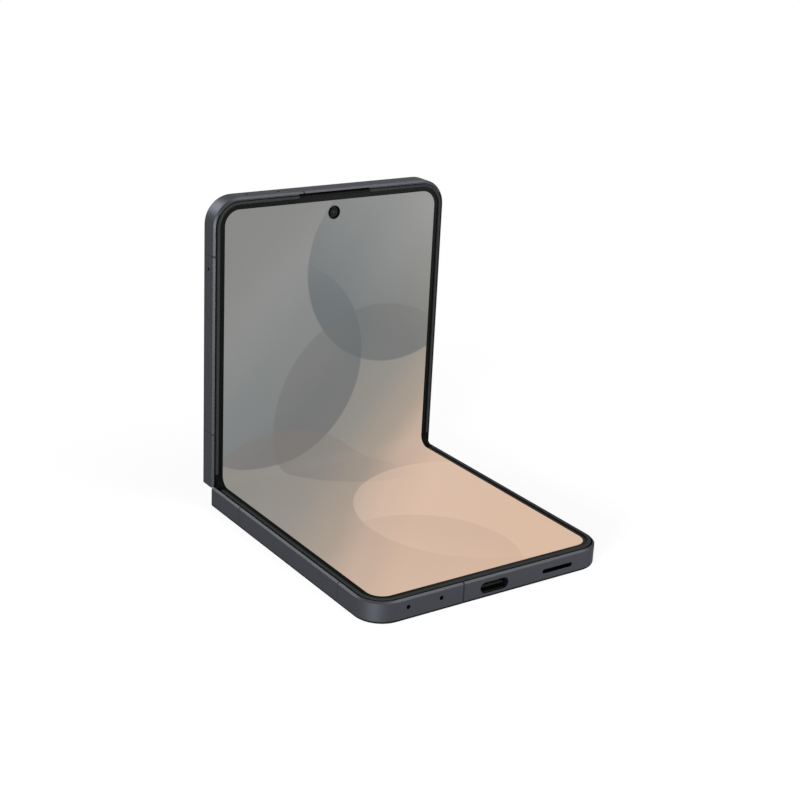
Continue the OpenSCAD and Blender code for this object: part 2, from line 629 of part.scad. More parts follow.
// inside of the upper half
module main_board() color("DarkGreen") at_upper() difference() {
    slab(board_bot, board_top) half_plate(rail_t + 0.5, main_u, corner_r - rail_t - 0.5);
    for (x = camera_x) box(x - 5.3, x + 5.3, -camera_u - 5.3, -camera_u + 5.3, -thickness, 0);
    box(-3.2, 3.2, -half_len, -front_u + 3.2, -thickness, 0);
    box(ear_x - 10.1, ear_x + 0.9, -half_len, -half_len + 9.35, -thickness, 0);
    for (p = screws_up) rod(p[0], -p[1], board_bot - 1, board_top + 1, 0.6);
}
module can(x0, x1, u0, u1, h) difference() {
    slab(board_bot - h, board_bot) round_rect(x0, x1, -u1, -u0, 0.8);
    slab(board_bot - h + 0.2, board_bot + 1) round_rect(x0 + 0.2, x1 - 0.2, -u1 + 0.2, -u0 - 0.2, 0.6);
}
module board_shields() color("LightGray") at_upper() {
    can(19.1 - hw, 2.5, main_u + 1, main_u + 21, 1.5);
    can(3.5, hw - 16.6, main_u + 4, main_u + 28, 1.3);
    can(5.6 - hw, 18.1 - hw, main_u + 4, main_u + 21, 1.2);
}
module camera_rings() color("SlateGray") at_upper() for (x = camera_x) translate([x, -camera_u, 0]) {
    rotate_extrude() {
        translate([ring_in, -thickness - ring_rise]) square([ring_r - ring_in - 0.4, ring_rise + glass_t + 0.45]);
        translate([ring_in, -thickness - ring_rise + 0.4]) square([ring_r - ring_in, ring_rise + glass_t + 0.05]);
        translate([ring_r - 0.4, -thickness - ring_rise + 0.4]) circle(0.4);
    }
}
module camera_windows() color("Black") at_upper() for (x = camera_x)
    rod(x, -camera_u, -thickness - ring_rise + 0.25, -thickness - ring_rise + 0.85, window_r);
// lens barrel: a stepped funnel behind the window, ending in the well of the front lens
module camera_barrel() rotate_extrude() polygon([[0, barrel_bot], [barrel_r, barrel_bot],
    [barrel_r, barrel_top], [barrel_r - 0.6, barrel_top], [barrel_r - 0.6, barrel_top + 0.25],
    [barrel_r - 1.1, barrel_top + 0.25], [barrel_r - 2, barrel_top + 0.95], [well_r, barrel_top + 0.95],
    [well_r, barrel_top + 1.45], [0, barrel_top + 1.45]]);
module camera_modules() color("Black") at_upper() for (x = camera_x) {
    translate([x, -camera_u, 0]) camera_barrel();
    box(x - 5, x + 5, -camera_u - 5, -camera_u + 5, -4.7, web_bot);
}
module flash_lamp() color("LightYellow") at_upper() {
    rod(flash_x, -camera_u, -thickness + 0.05, glass_top + 0.5, 1.6);
    box(flash_x - 2, flash_x + 2, -camera_u - 2, -camera_u + 2, glass_top + 0.5, -4.6);
}
module front_camera() color("Black") at_upper() {
    // nose with a shallow funnel round the lens
    translate([0, -front_u, 0]) rotate_extrude()
        polygon([[0, -0.55], [1.2, -0.55], [1.2, -0.15], [1.05, -0.15], [0.6, -0.4], [0, -0.4]]);
    rod(0, -front_u, -2.2, -0.55, 1.6);
    box(-2.9, 2.9, -front_u - 2.9, -front_u + 2.9, -4.5, web_bot);
}
module earpiece_box() color("Gray") at_upper()
    slab(-3.9, web_bot) round_rect(ear_x - 9.7, ear_x, -half_len + rail_t + 0.1, -half_len + 8.85, 0.8);
module earpiece_mesh() color("DarkSlateGray") at_upper() slab(-0.8, -0.5)
    round_rect(-ear_len/2 + 0.03, ear_len/2 - 0.03, -half_len + 0.53, -half_len + 0.9, 0.18);
module key_switches() color("Orange") at_upper() {
    for (k = [[volume_u - 5, 3], [volume_u + 5, 3], [side_u, 4]]) {
        box(-hw + rail_t + 0.55, -hw + rail_t + 0.9, -k[0] - k[1]/2, -k[0] + k[1]/2, port_z - 0.9, port_z + 0.9);
    }
    box(-hw + rail_t + 0.9, -hw + rail_t + 1.1, -volume_u - 7.5, -side_u + 6, port_z - 1.1, board_bot);
}
module tray_socket() color("Silver") at_upper() difference() {
    box(hw - rail_t - 13.4, hw - rail_t - 0.2, -tray_u - 6.6, -tray_u + 6.6, port_z - 1.0, board_bot);
    box(hw - rail_t - 12.9, hw - rail_t, -tray_u - 6.2, -tray_u + 6.2, port_z - 0.75, port_z + 0.75);
}

// keys and tray
module volume_key() color("DimGray") at_upper() {
    translate([-hw - key_rise, 0, 0]) along_x_slot(volume_u, volume_len, key_h, key_rise + 1.15);
    box(-hw + 1.15, -hw + 1.55, -volume_u - volume_len/2 - 0.4, -volume_u + volume_len/2 + 0.4,
        port_z - key_h/2 - 0.4, port_z + key_h/2 + 0.4);
    for (s = [-1, 1]) box(-hw + 1.5, -hw + rail_t + 0.3, -volume_u + s*5 - 1, -volume_u + s*5 + 1, port_z - 0.7, port_z + 0.7);
}
module side_key() color("DimGray") at_upper() {
    translate([-hw - key_rise, 0, 0]) along_x_slot(side_u, side_len, key_h, key_rise + 0.95);
    box(-hw + 0.95, -hw + 1.45, -side_u - side_len/2 - 0.4, -side_u + side_len/2 + 0.4,
        port_z - key_h/2 - 0.4, port_z + key_h/2 + 0.4);
    box(-hw + 1.4, -hw + rail_t + 0.3, -side_u - 1.2, -side_u + 1.2, port_z - 0.7, port_z + 0.7);
}
module card_tray() color("DimGray") at_upper() difference() {
    union() {
        translate([hw - 1.6, 0, 0]) along_x_slot(tray_u, tray_len, tray_h, 1.6);
        box(hw - rail_t - 12.4, hw - 1.5, -tray_u - 6, -tray_u + 6, port_z - 0.6, port_z + 0.6);
    }
    // recess for the card and the hole for the eject pin
    box(hw - rail_t - 11.6, hw - rail_t - 0.6, -tray_u - 5.2, -tray_u + 5.2, port_z - 1, port_z + 0.2);
    translate([hw - 3, -eject_u, port_z]) rotate([0, 90, 0]) cylinder(d = eject_d, h = 4);
}

lower_frame();
aerial_breaks_lower();
back_glass_lower();
surround_lower();
screen_lower();
support_plate_lower();
battery_lower();
shield_sheet();
charging_coil();
port_board();
usb_shell();
usb_tongue();
speaker_box();
speaker_mesh();
vibration_motor();
microphones_lower();
carrier_lower();
screws_lower();
rotator_lower();
gear_arm_lower();
arm_screws_lower();
spine_cover();
spine_caps();
hinge_brackets();
bracket_screws();
screen_fold();
fold_seals();
idler_gear_lower();
idler_gear_upper();
upper_frame();
aerial_breaks_upper();
cover_glass();
cover_panel();
surround_upper();
screen_upper();
support_plate_upper();
battery_upper();
main_board();
board_shields();
camera_rings();
camera_windows();
camera_modules();
flash_lamp();
front_camera();
earpiece_box();
earpiece_mesh();
microphones_upper();
screws_upper();
rotator_upper();
gear_arm_upper();
arm_screws_upper();
key_switches();
tray_socket();
volume_key();
side_key();
card_tray();
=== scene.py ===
# %% [markdown]
# The object is a clamshell telephone with one long screen that folds across its
# middle. It stands half open: the lower half lies on the table, and the upper half
# stands up behind it at a right angle. The rigid pieces come ready made from the CAD
# model, so this lesson gives them their finishes, adds the soft screen in the fold
# and the fine pieces such as lenses and contacts, and sets a plain studio round it.
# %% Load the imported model
import json
import math
import bpy
import bmesh
from mathutils import Matrix, Vector


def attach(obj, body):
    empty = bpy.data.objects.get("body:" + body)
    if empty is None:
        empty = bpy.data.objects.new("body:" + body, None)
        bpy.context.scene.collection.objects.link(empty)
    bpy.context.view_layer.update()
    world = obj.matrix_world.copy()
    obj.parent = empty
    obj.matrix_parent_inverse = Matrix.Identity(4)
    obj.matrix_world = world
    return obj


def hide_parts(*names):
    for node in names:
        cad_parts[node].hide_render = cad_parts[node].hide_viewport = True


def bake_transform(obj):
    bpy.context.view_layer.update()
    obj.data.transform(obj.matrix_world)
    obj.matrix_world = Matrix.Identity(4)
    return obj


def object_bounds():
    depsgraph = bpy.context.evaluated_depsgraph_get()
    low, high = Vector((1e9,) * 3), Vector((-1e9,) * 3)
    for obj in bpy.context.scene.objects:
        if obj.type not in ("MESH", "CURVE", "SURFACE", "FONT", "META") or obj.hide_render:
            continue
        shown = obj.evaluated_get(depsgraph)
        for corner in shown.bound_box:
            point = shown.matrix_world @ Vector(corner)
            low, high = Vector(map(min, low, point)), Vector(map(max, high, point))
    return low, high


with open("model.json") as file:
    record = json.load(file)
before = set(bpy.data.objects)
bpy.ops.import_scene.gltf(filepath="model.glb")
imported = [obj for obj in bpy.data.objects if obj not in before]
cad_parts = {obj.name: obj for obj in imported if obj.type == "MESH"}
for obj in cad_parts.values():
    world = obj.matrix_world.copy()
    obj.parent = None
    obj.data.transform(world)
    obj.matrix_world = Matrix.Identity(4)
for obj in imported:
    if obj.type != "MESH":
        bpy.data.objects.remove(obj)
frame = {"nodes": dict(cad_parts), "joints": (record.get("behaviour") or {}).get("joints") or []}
cad_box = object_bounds()
MM = 0.001
print("CAD box, mm:", [round(c / MM, 2) for corner in cad_box for c in corner])

# %% [markdown]
# Each half turns about its own axis in the spine. The two axes are joints of the
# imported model, so the screen planes are found from them, and every piece made here
# is placed by three numbers: x across, u away from the fold, and w above the screen.
# %% Places on the two halves
PIVOT_U, PIVOT_W = 1.8 * MM, 1.45 * MM
joints = {j["name"]: j for j in frame["joints"]}
axis_low = Vector(joints["fold_lower"]["pos_m"])
axis_up = Vector(joints["fold_upper"]["pos_m"])
fold_y, screen_z = axis_low.y + PIVOT_U, axis_low.z + PIVOT_W
upper_y, upper_z = axis_up.y - PIVOT_W, axis_up.z - PIVOT_U


def lower_point(x, u, w):
    return Vector((x * MM, fold_y - u * MM, screen_z + w * MM))


def upper_point(x, u, w):
    return Vector((x * MM, upper_y - w * MM, upper_z + u * MM))


HALF_WIDTH, HALF_LENGTH, THICKNESS = 37.6, 83.35, 6.2
BORDER_SIDE, FOLD_ZONE, FOLD_RADIUS = 3.25, 4.4, 3.2
print("fold line at y =", round(fold_y, 5), "upper screen plane at y =", round(upper_y, 5))

# %% [markdown]
# The camera looks down from the front left, as a person at a desk would. Its place
# was found by matching the corners, the ports and the aerial breaks of the real
# telephone with the same points of the CAD model. It is written here as three
# angles, a distance in millimetres and the point that it is aimed at.
# %% Camera
DISTANCE, FOCAL_LENGTH, SENSOR = 465.737, 69.084, 36
yaw, pitch, roll = (math.radians(a) for a in (35.135, -20.032, 2.932))
ahead = Vector((math.sin(yaw) * math.cos(pitch), math.cos(yaw) * math.cos(pitch), math.sin(pitch)))
right = Vector((math.cos(yaw), -math.sin(yaw), 0))
up = right.cross(ahead)
side = math.cos(roll) * right + math.sin(roll) * up
top = math.cos(roll) * up - math.sin(roll) * right
aim = lower_point(27.096, -1.257, 15)
camera_data = bpy.data.cameras.new("camera")
camera_data.lens, camera_data.sensor_width = FOCAL_LENGTH, SENSOR
camera_data.clip_start, camera_data.clip_end = 0.01, 50
camera = bpy.data.objects.new("camera", camera_data)
camera.matrix_world = Matrix.Translation(aim - ahead * DISTANCE * MM) @ Matrix(
    (side, top, -ahead)).transposed().to_4x4()
bpy.context.scene.collection.objects.link(camera)
bpy.context.scene.camera = camera
bpy.context.scene.view_settings.view_transform = "Standard"
print("camera at", [round(c, 4) for c in camera.matrix_world.translation])

# %% [markdown]
# Materials are built from nodes, and a few small helpers keep that readable. The
# first adds a node and fills its inputs, from a number or from another node's
# output. The next do arithmetic, measure a vector, read the place on the object and
# lay one colour over another. One turns a screen colour from 0 to 255 into the
# linear values that Blender works in, and the last two start an empty node group
# and an empty material.
# %% Helpers for node trees
def node(tree, kind, props=None, family="ShaderNode", **inputs):
    made = tree.nodes.new(family + kind)
    for name, value in (props or {}).items():
        setattr(made, name, value)
    for name, value in inputs.items():
        key = int(name[1:]) if name[0] == "i" and name[1:].isdigit() else name.replace("_", " ")
        if isinstance(value, bpy.types.NodeSocket):
            tree.links.new(value, made.inputs[key])
        else:
            made.inputs[key].default_value = value
    return made


def sums(tree, operation, a, b=0.0, c=0.0, clamp=False):
    return node(tree, "Math", {"operation": operation, "use_clamp": clamp}, i0=a, i1=b, i2=c).outputs[0]


def length_of(tree, vector):
    return node(tree, "VectorMath", {"operation": "LENGTH"}, i0=vector).outputs["Value"]


def place_of(tree):
    return node(tree, "TexCoord").outputs["Object"]


def split_place(tree):
    return node(tree, "SeparateXYZ", Vector=place_of(tree)).outputs


def layered(tree, share, below, above):
    return node(tree, "Mix", {"data_type": "RGBA"}, i0=share, i6=below, i7=above).outputs[2]


def colour(red, green, blue):
    return tuple(c / 12.92 if c <= 0.04045 else ((c + 0.055) / 1.055) ** 2.4
                 for c in (red / 255, green / 255, blue / 255)) + (1.0,)


def group(name, inputs, outputs):
    tree = bpy.data.node_groups.new(name, "ShaderNodeTree")
    for direction, sockets in (("INPUT", inputs), ("OUTPUT", outputs)):
        for label, kind in sockets:
            tree.interface.new_socket(label, in_out=direction, socket_type="NodeSocket" + kind)
    return tree, tree.nodes.new("NodeGroupInput").outputs, tree.nodes.new("NodeGroupOutput")


def new_material(name):
    material = bpy.data.materials.new(name)
    material.use_nodes = True
    material.node_tree.nodes.clear()
    return material, material.node_tree


print("helpers ready")

# %% [markdown]
# The studio is a pale floor under an even white sky. Eyes of the camera, mirrors and
# glass see the sky and most of the floor as plain white, while the light that falls
# on the telephone stays at an ordinary level. Near the telephone about a seventh of
# the floor that the camera sees is matt paper, and that part holds the soft shadow.
# Further out the floor runs over into plain white, so no horizon shows.
# %% Floor and sky
def seen_directly(tree):
    path = node(tree, "LightPath").outputs
    seen = sums(tree, "MAXIMUM", path["Is Camera Ray"], path["Is Glossy Ray"])
    return sums(tree, "MAXIMUM", seen, path["Is Transmission Ray"])


SKY_LIGHT, FLOOR_GLOW, PAPER = 0.42, 0.86, 0.86
SHADE_REACH, WHITE_REACH, FLOOR_REACH = 0.10, 0.22, 6.0
world = bpy.data.worlds.new("studio")
bpy.context.scene.world = world
world.use_nodes = True
sky = world.node_tree
sky.nodes.clear()
strength = sums(sky, "MULTIPLY_ADD", seen_directly(sky), 1 - SKY_LIGHT, SKY_LIGHT)
backdrop = node(sky, "Background", Color=(1, 1, 1, 1), Strength=strength)
node(sky, "OutputWorld", Surface=backdrop.outputs[0])

floor_material, tree = new_material("floor_paper")
paper = node(tree, "BsdfDiffuse", Color=(PAPER, PAPER, PAPER, 1), Roughness=1.0)
glow = node(tree, "Emission", Color=(1, 1, 1, 1), Strength=1.0)
outer = node(tree, "MapRange", {"interpolation_type": "SMOOTHSTEP"}, Value=length_of(tree, place_of(tree)),
             From_Min=SHADE_REACH, From_Max=WHITE_REACH, To_Min=FLOOR_GLOW, To_Max=1.0).outputs[0]
share = sums(tree, "MULTIPLY", seen_directly(tree), outer)
mixed = node(tree, "MixShader", i0=share, i1=paper.outputs[0], i2=glow.outputs[0])
node(tree, "OutputMaterial", Surface=mixed.outputs[0])

FLOOR_GAP = 0.05
floor_z = cad_box[0].z - FLOOR_GAP * MM
corners = [(x * FLOOR_REACH, y * FLOOR_REACH, floor_z) for x, y in ((-1, -1), (1, -1), (1, 1), (-1, 1))]
floor_mesh = bpy.data.meshes.new("floor")
floor_mesh.from_pydata(corners, [], [(0, 1, 2, 3)])
floor_mesh.materials.append(floor_material)
floor = bpy.data.objects.new("floor", floor_mesh)
bpy.context.scene.collection.objects.link(floor)
print("floor at z =", round(floor_z, 5))

# %% [markdown]
# Three large softboxes stand round the telephone. One is low at the front left, and
# gives the bright lines along the upright bevels. One hangs behind on the left and one
# over the front right, and they light the rounded corner at the top and the level
# bevels. Two small ones stand close to the front corners of the lower half, and
# brighten the left corner and the right part of the front rail.
# %% Softboxes
def softbox(name, direction, distance, width, watts, centre=(0, 0, 0.04)):
    light = bpy.data.lights.new(name, "AREA")
    light.shape, light.size, light.energy = "DISK", width, watts
    lamp = bpy.data.objects.new(name, light)
    towards = Vector(direction).normalized()
    lamp.location = Vector(centre) + towards * distance
    lamp.rotation_mode = "QUATERNION"
    lamp.rotation_quaternion = towards.to_track_quat("Z", "Y")
    bpy.context.scene.collection.objects.link(lamp)
    return lamp


softbox("softbox_front_left", (-0.80, -0.58, 0.07), 0.9, 0.30, 2.5)
softbox("softbox_back_left", (-0.35, 0.77, 0.54), 0.9, 0.45, 4.0)
softbox("softbox_over", (0.45, -0.35, 0.80), 0.9, 0.60, 4.6)
softbox("softbox_left_corner", (-0.82, -0.57, 0.17), 0.25, 0.10, 1.0, lower_point(-36, 82, -3))
softbox("softbox_right_corner", (0.63, -0.70, 0.14), 0.25, 0.10, 0.35, lower_point(30, 83, -3))

# %% [markdown]
# No real surface is one flat value. Blasted metal has a fine grain, paint and glass
# drift a little in tone, and fingers leave places that shine less. One node group
# gives all of that, and every finish below uses it with its own values.
# %% Shared detail of every surface
SMUDGE_FINENESS = 2.7
detail, given, out = group("surface_detail", [
    ("Color", "Color"), ("Tone Amount", "Float"), ("Tone Scale", "Float"), ("Roughness", "Float"),
    ("Gloss Change", "Float"), ("Grain Scale", "Float"), ("Grain Depth", "Float")],
    [("Color", "Color"), ("Roughness", "Float"), ("Normal", "Vector")])
place = place_of(detail)
drift = node(detail, "TexNoise", Vector=place, Scale=given["Tone Scale"], Detail=4.0,
             Roughness=0.6).outputs["Fac"]
tone = sums(detail, "MULTIPLY_ADD", sums(detail, "SUBTRACT", drift, 0.5), given["Tone Amount"], 1.0)
tinted = node(detail, "VectorMath", {"operation": "SCALE"}, i0=given["Color"], Scale=tone).outputs[0]
smudge_scale = sums(detail, "MULTIPLY", given["Tone Scale"], SMUDGE_FINENESS)
smudge = node(detail, "TexNoise", Vector=place, Scale=smudge_scale, Detail=5.0, Roughness=0.65).outputs["Fac"]
dull = sums(detail, "MULTIPLY_ADD", sums(detail, "SUBTRACT", smudge, 0.5), given["Gloss Change"],
            given["Roughness"])
grain = node(detail, "TexNoise", Vector=place, Scale=given["Grain Scale"], Detail=2.0).outputs["Fac"]
relief = sums(detail, "MULTIPLY", grain, given["Grain Depth"])
bump = node(detail, "Bump", Strength=1.0, Distance=1.0, Height=relief)
detail.links.new(tinted, out.inputs["Color"])
detail.links.new(dull, out.inputs["Roughness"])
detail.links.new(bump.outputs[0], out.inputs["Normal"])


def detailed(tree, tint, roughness, tone=(0.10, 60.0), gloss=0.08, grain=(6000.0, 3e-6)):
    return node(tree, "Group", {"node_tree": detail}, Color=tint, Roughness=roughness, Tone_Amount=tone[0],
                Tone_Scale=tone[1], Gloss_Change=gloss, Grain_Scale=grain[0], Grain_Depth=grain[1]).outputs


def principled(tree, look, **sockets):
    shader = node(tree, "BsdfPrincipled", Base_Color=look["Color"], Roughness=look["Roughness"],
                  Normal=look["Normal"], **sockets)
    node(tree, "OutputMaterial", Surface=shader.outputs[0])
    return shader


def finish(name, tint, roughness, tone=(0.10, 60.0), gloss=0.08, grain=(6000.0, 3e-6), **sockets):
    material, tree = new_material(name)
    principled(tree, detailed(tree, tint, roughness, tone, gloss, grain), **sockets)
    return material


print("group", detail.name, "with", len(detail.nodes), "nodes")

# %% [markdown]
# Several finishes change with the distance from the outer edge of the telephone. One
# node group measures it: both halves have the same rounded outline, so the distance
# to the centre of the corner circle, taken away from the radius of that circle, gives
# the depth inside the outline. It also gives the way along the half from the fold.
# %% Depth inside the outline
CORNER = 7.8
outline, given, out = group("inside_outline", [], [("Depth", "Float"), ("Along", "Float")])
spot = split_place(outline)
over_x = sums(outline, "SUBTRACT", sums(outline, "ABSOLUTE", spot["X"]), (HALF_WIDTH - CORNER) * MM)
along = sums(outline, "MAXIMUM", sums(outline, "SUBTRACT", fold_y, spot["Y"]),
             sums(outline, "SUBTRACT", spot["Z"], upper_z))
far = sums(outline, "SUBTRACT", along, (HALF_LENGTH - CORNER) * MM)
beyond = node(outline, "CombineXYZ", X=sums(outline, "MAXIMUM", over_x, 0.0),
              Y=sums(outline, "MAXIMUM", far, 0.0)).outputs[0]
outline.links.new(sums(outline, "SUBTRACT", CORNER * MM, length_of(outline, beyond)), out.inputs["Depth"])
outline.links.new(along, out.inputs["Along"])
print("group", outline.name, "with", len(outline.nodes), "nodes")

# %% [markdown]
# The rails are aluminium, blasted with fine beads and dyed slate grey. Three places on
# them carry painted shade. The bevel on the screen side is painted a touch darker and
# greyer than the rail, a painted shade that tones down the lamps' highlight on it. The
# narrow flat between it and the surround is painted dark, a painted shadow of the
# surround, and the lower rail, on which the telephone stands, is painted dark as shade
# where it turns under to the table. A node group finds the three places from the
# direction in which the surface faces, measured against the direction in which the
# screen faces, so it serves both halves. Each place is a ramp over that measure, with a
# slope and a start.
# %% Edges of the rails
BEVEL_LEAN, UNDER_LEAN = 0.707, -0.5
rail_edges, given, out = group("rail_edges", [("Screen Direction", "Vector")],
                               [("Bevel", "Float"), ("Lip Flat", "Float"), ("Turned Under", "Float")])
facing = node(rail_edges, "TexCoord").outputs["Normal"]
lean = node(rail_edges, "VectorMath", {"operation": "DOT_PRODUCT"}, i0=facing,
            i1=given["Screen Direction"]).outputs["Value"]
off_bevel = sums(rail_edges, "ABSOLUTE", sums(rail_edges, "SUBTRACT", lean, BEVEL_LEAN))
off_under = sums(rail_edges, "ABSOLUTE", sums(rail_edges, "SUBTRACT", lean, UNDER_LEAN))
for label, measure, slope, start in (("Bevel", off_bevel, -4.0, 1.2), ("Lip Flat", lean, 20.0, -19.0),
                                     ("Turned Under", off_under, -8.0, 3.9)):
    ramp = sums(rail_edges, "MULTIPLY_ADD", measure, slope, start, clamp=True)
    rail_edges.links.new(ramp, out.inputs[label])
print("group", rail_edges.name, "with", len(rail_edges.nodes), "nodes")

# %% [markdown]
# Where shade is painted dark, on the flat, the foot and the walls, the shader is told to
# be less metallic, so that the white studio does not show in it. At the free end of the
# upper half the painted shade on the flat is full beside the earpiece and half as strong
# to both sides. The walls of the ports, pinholes and key openings are painted black as
# well, as painted shade in these openings. They are found by their place alone: a band
# at some depth inside the outline and some drop below the screen, off the fold. Lengths
# are in millimetres, and each band is given by its middle and its half width.
# %% Metal of the rails
END_ZONE, EARPIECE_HALF = 4.0, 11.4
WALL_DEPTH, WALL_DROP, WALL_START = (1.16, 1.04), (2.9, 2.0), 6.0
HALF_LIP_SHADE = 0.5
end_zone_z = upper_z + (HALF_LENGTH - END_ZONE) * MM


def in_band(tree, value, band):
    return sums(tree, "COMPARE", value, band[0] * MM, band[1] * MM)


def near_middle(tree, spot, half_width):
    return sums(tree, "LESS_THAN", sums(tree, "ABSOLUTE", spot["X"]), half_width * MM)


def rail_metal(name, screen_direction, on_screen, foot):
    material, tree = new_material(name)
    edges = node(tree, "Group", {"node_tree": rail_edges}, Screen_Direction=screen_direction).outputs
    spot = split_place(tree)
    low_down = sums(tree, "LESS_THAN", spot["Z"], end_zone_z)
    beside_earpiece = near_middle(tree, spot, EARPIECE_HALF)
    # Painted shade on the narrow flat: full, and half as strong at the free end away from the earpiece.
    lip_shade_strength = sums(tree, "MAXIMUM", sums(tree, "MAXIMUM", low_down, beside_earpiece), HALF_LIP_SHADE)
    lip_shade = sums(tree, "MULTIPLY", edges["Lip Flat"], lip_shade_strength)
    # Painted shade where the lower rail turns under to the table.
    under_shade = sums(tree, "MULTIPLY", edges["Turned Under"], foot)
    inside = node(tree, "Group", {"node_tree": outline}).outputs
    level = node(tree, "VectorMath", {"operation": "DOT_PRODUCT"}, i0=place_of(tree),
                 i1=screen_direction).outputs["Value"]
    drop = sums(tree, "SUBTRACT", Vector(screen_direction).dot(on_screen), level)
    # Painted shade: black on the walls of the ports, pinholes and key openings.
    wall_shade = sums(tree, "MULTIPLY", in_band(tree, inside["Depth"], WALL_DEPTH), in_band(tree, drop, WALL_DROP))
    wall_shade = sums(tree, "MULTIPLY", wall_shade, sums(tree, "GREATER_THAN", inside["Along"], WALL_START * MM))
    tint = colour(66, 68, 73)
    # Painted shade: a touch darker on the bevel, dark on the flat, the foot and the walls of the openings.
    for share, shade in ((edges["Bevel"], (60, 61, 64)), (lip_shade, (18, 18, 20)), (under_shade, (20, 21, 23)),
                         (wall_shade, (6, 6, 7))):
        tint = layered(tree, share, tint, colour(*shade))
    painted_shade = sums(tree, "MAXIMUM", sums(tree, "MAXIMUM", lip_shade, under_shade), wall_shade)
    unshaded = sums(tree, "SUBTRACT", 1.0, painted_shade, clamp=True)
    look = detailed(tree, tint, 0.44, (0.06, 45.0), 0.05, (9000.0, 3e-6))
    principled(tree, look, Metallic=unshaded, Specular_Tint=(0.56, 0.56, 0.56, 1), Specular_IOR_Level=0.0)
    return material


made = {"frame_metal_lower": rail_metal("frame_metal_lower", (0, 0, 1), lower_point(0, 0, 0), 1.0),
        "frame_metal_upper": rail_metal("frame_metal_upper", (0, -1, 0), upper_point(0, 0, 0), 0.0)}
print("rails:", ", ".join(made))

# %% [markdown]
# The other metals and the plastics need no such edges. The grain of most is a few
# tenths of a millimetre or less, so it softens the reflections and never shows as
# dots from arm's length. The aerial breaks are a moulded plastic, darker than the
# rail. Each row of the table holds a name, a colour, a roughness, the amount and
# scale of the tone's drift, the change of gloss, the scale and depth of the grain,
# and what else the shader needs.
# %% Finishes of the metal and the plastics
METAL = {"Metallic": 1.0}
FINISH_TABLE = (
    ("aerial_plastic", (27, 28, 30), 0.5, (0.08, 90.0), 0.06, (5000.0, 2e-6), {"Specular_IOR_Level": 0.08}),
    ("spine_metal", (74, 76, 82), 0.3, (0.05, 45.0), 0.05, (9000.0, 3e-6), METAL),
    ("ring_metal", (74, 76, 82), 0.24, (0.05, 80.0), 0.05, (9000.0, 1e-6), METAL),
    ("hinge_steel", (170, 172, 176), 0.3, (0.08, 200.0), 0.1, (4000.0, 2e-6), METAL),
    ("screw_steel", (120, 122, 126), 0.35, (0.1, 300.0), 0.1, (5000.0, 2e-6), METAL),
    ("shell_steel", (150, 152, 155), 0.34, (0.08, 200.0), 0.1, (4000.0, 2e-6), METAL),
    ("plate_metal", (140, 142, 146), 0.4, (0.08, 60.0), 0.1, (4000.0, 2e-6), METAL),
    ("black_plastic", (24, 24, 26), 0.5, (0.15, 90.0), 0.08, (3500.0, 4e-6), {}),
    ("seal", (4, 4, 4), 0.6, (0.2, 150.0), 0.08, (4000.0, 4e-6), {"Specular_IOR_Level": 0.03}),
    ("lens_black", (7, 7, 8), 0.5, (0.1, 300.0), 0.08, (4000.0, 2e-6), {"Specular_IOR_Level": 0.1}),
    ("socket_steel", (40, 41, 43), 0.45, (0.08, 200.0), 0.1, (4000.0, 2e-6), METAL),
    ("mesh", (14, 14, 15), 0.5, (0.2, 400.0), 0.1, (6000.0, 4e-6), {"Specular_IOR_Level": 0.1}),
    ("battery_pouch", (52, 54, 58), 0.45, (0.12, 40.0), 0.1, (900.0, 2e-5), {}),
    ("ferrite", (50, 48, 47), 0.6, (0.2, 200.0), 0.1, (3000.0, 6e-6), {}),
    ("coil_copper", (190, 112, 70), 0.35, (0.15, 200.0), 0.1, (4000.0, 3e-6), METAL),
    ("board", (22, 58, 44), 0.45, (0.25, 300.0), 0.1, (2500.0, 6e-6), {}),
    ("sensor_gold", (196, 162, 98), 0.3, (0.1, 300.0), 0.1, (4000.0, 2e-6), METAL),
)
for name, shade, *values, more in FINISH_TABLE:
    made[name] = finish(name, colour(*shade), *values, **more)
print(len(made), "finishes:", ", ".join(made))

# %% [markdown]
# Glass backs are drawn with the shader's clear coat or a very low roughness. The
# lower back is etched to a satin slate. The upper back is one sheet of black glass
# over a second display that is switched off, whose edge is only just visible: it is
# a rounded rectangle, found as the outline above is. The windows over the two rear
# cameras are clear, so that the lenses show behind them.
# %% Finishes of the glass
PANEL_SIDE, PANEL_END, PANEL_CORNER, PANEL_SHARPNESS = 2.5, 3.0, 5.5, 6000.0
made["back_glass"] = finish("back_glass", colour(92, 96, 104), 0.34, (0.05, 30.0), 0.06, (9000.0, 1.2e-6),
                            Coat_Weight=0.25, Coat_Roughness=0.22)
material, tree = new_material("cover_glass")
spot = split_place(tree)
side_limit = (HALF_WIDTH - (PANEL_SIDE + PANEL_CORNER)) * MM
end_limit = (HALF_LENGTH / 2 - (PANEL_END + PANEL_CORNER)) * MM
across = sums(tree, "SUBTRACT", sums(tree, "ABSOLUTE", spot["X"]), side_limit)
height = sums(tree, "ABSOLUTE", sums(tree, "SUBTRACT", spot["Z"], upper_z + HALF_LENGTH / 2 * MM))
along = sums(tree, "SUBTRACT", height, end_limit)
beyond = node(tree, "CombineXYZ", X=sums(tree, "MAXIMUM", across, 0.0),
              Y=sums(tree, "MAXIMUM", along, 0.0)).outputs[0]
panel = sums(tree, "MULTIPLY_ADD", length_of(tree, beyond), -PANEL_SHARPNESS,
             PANEL_SHARPNESS * PANEL_CORNER * MM, clamp=True)
tint = layered(tree, panel, colour(9, 9, 10), colour(18, 19, 23))
principled(tree, detailed(tree, tint, 0.07, (0.1, 30.0), 0.05, (3000.0, 1e-8)), IOR=1.5, Coat_Weight=0.3)
made["cover_glass"] = material
made["cover_panel"] = finish("cover_panel", colour(20, 21, 24), 0.3, (0.1, 60.0), 0.05, (3000.0, 1e-6))
made["window_glass"] = finish("window_glass", colour(238, 240, 244), 0.02, (0.03, 30.0), 0.01, (3000.0, 1e-9),
                              IOR=1.45, Transmission_Weight=1.0)
print("glass: back_glass, cover_glass, cover_panel, window_glass")
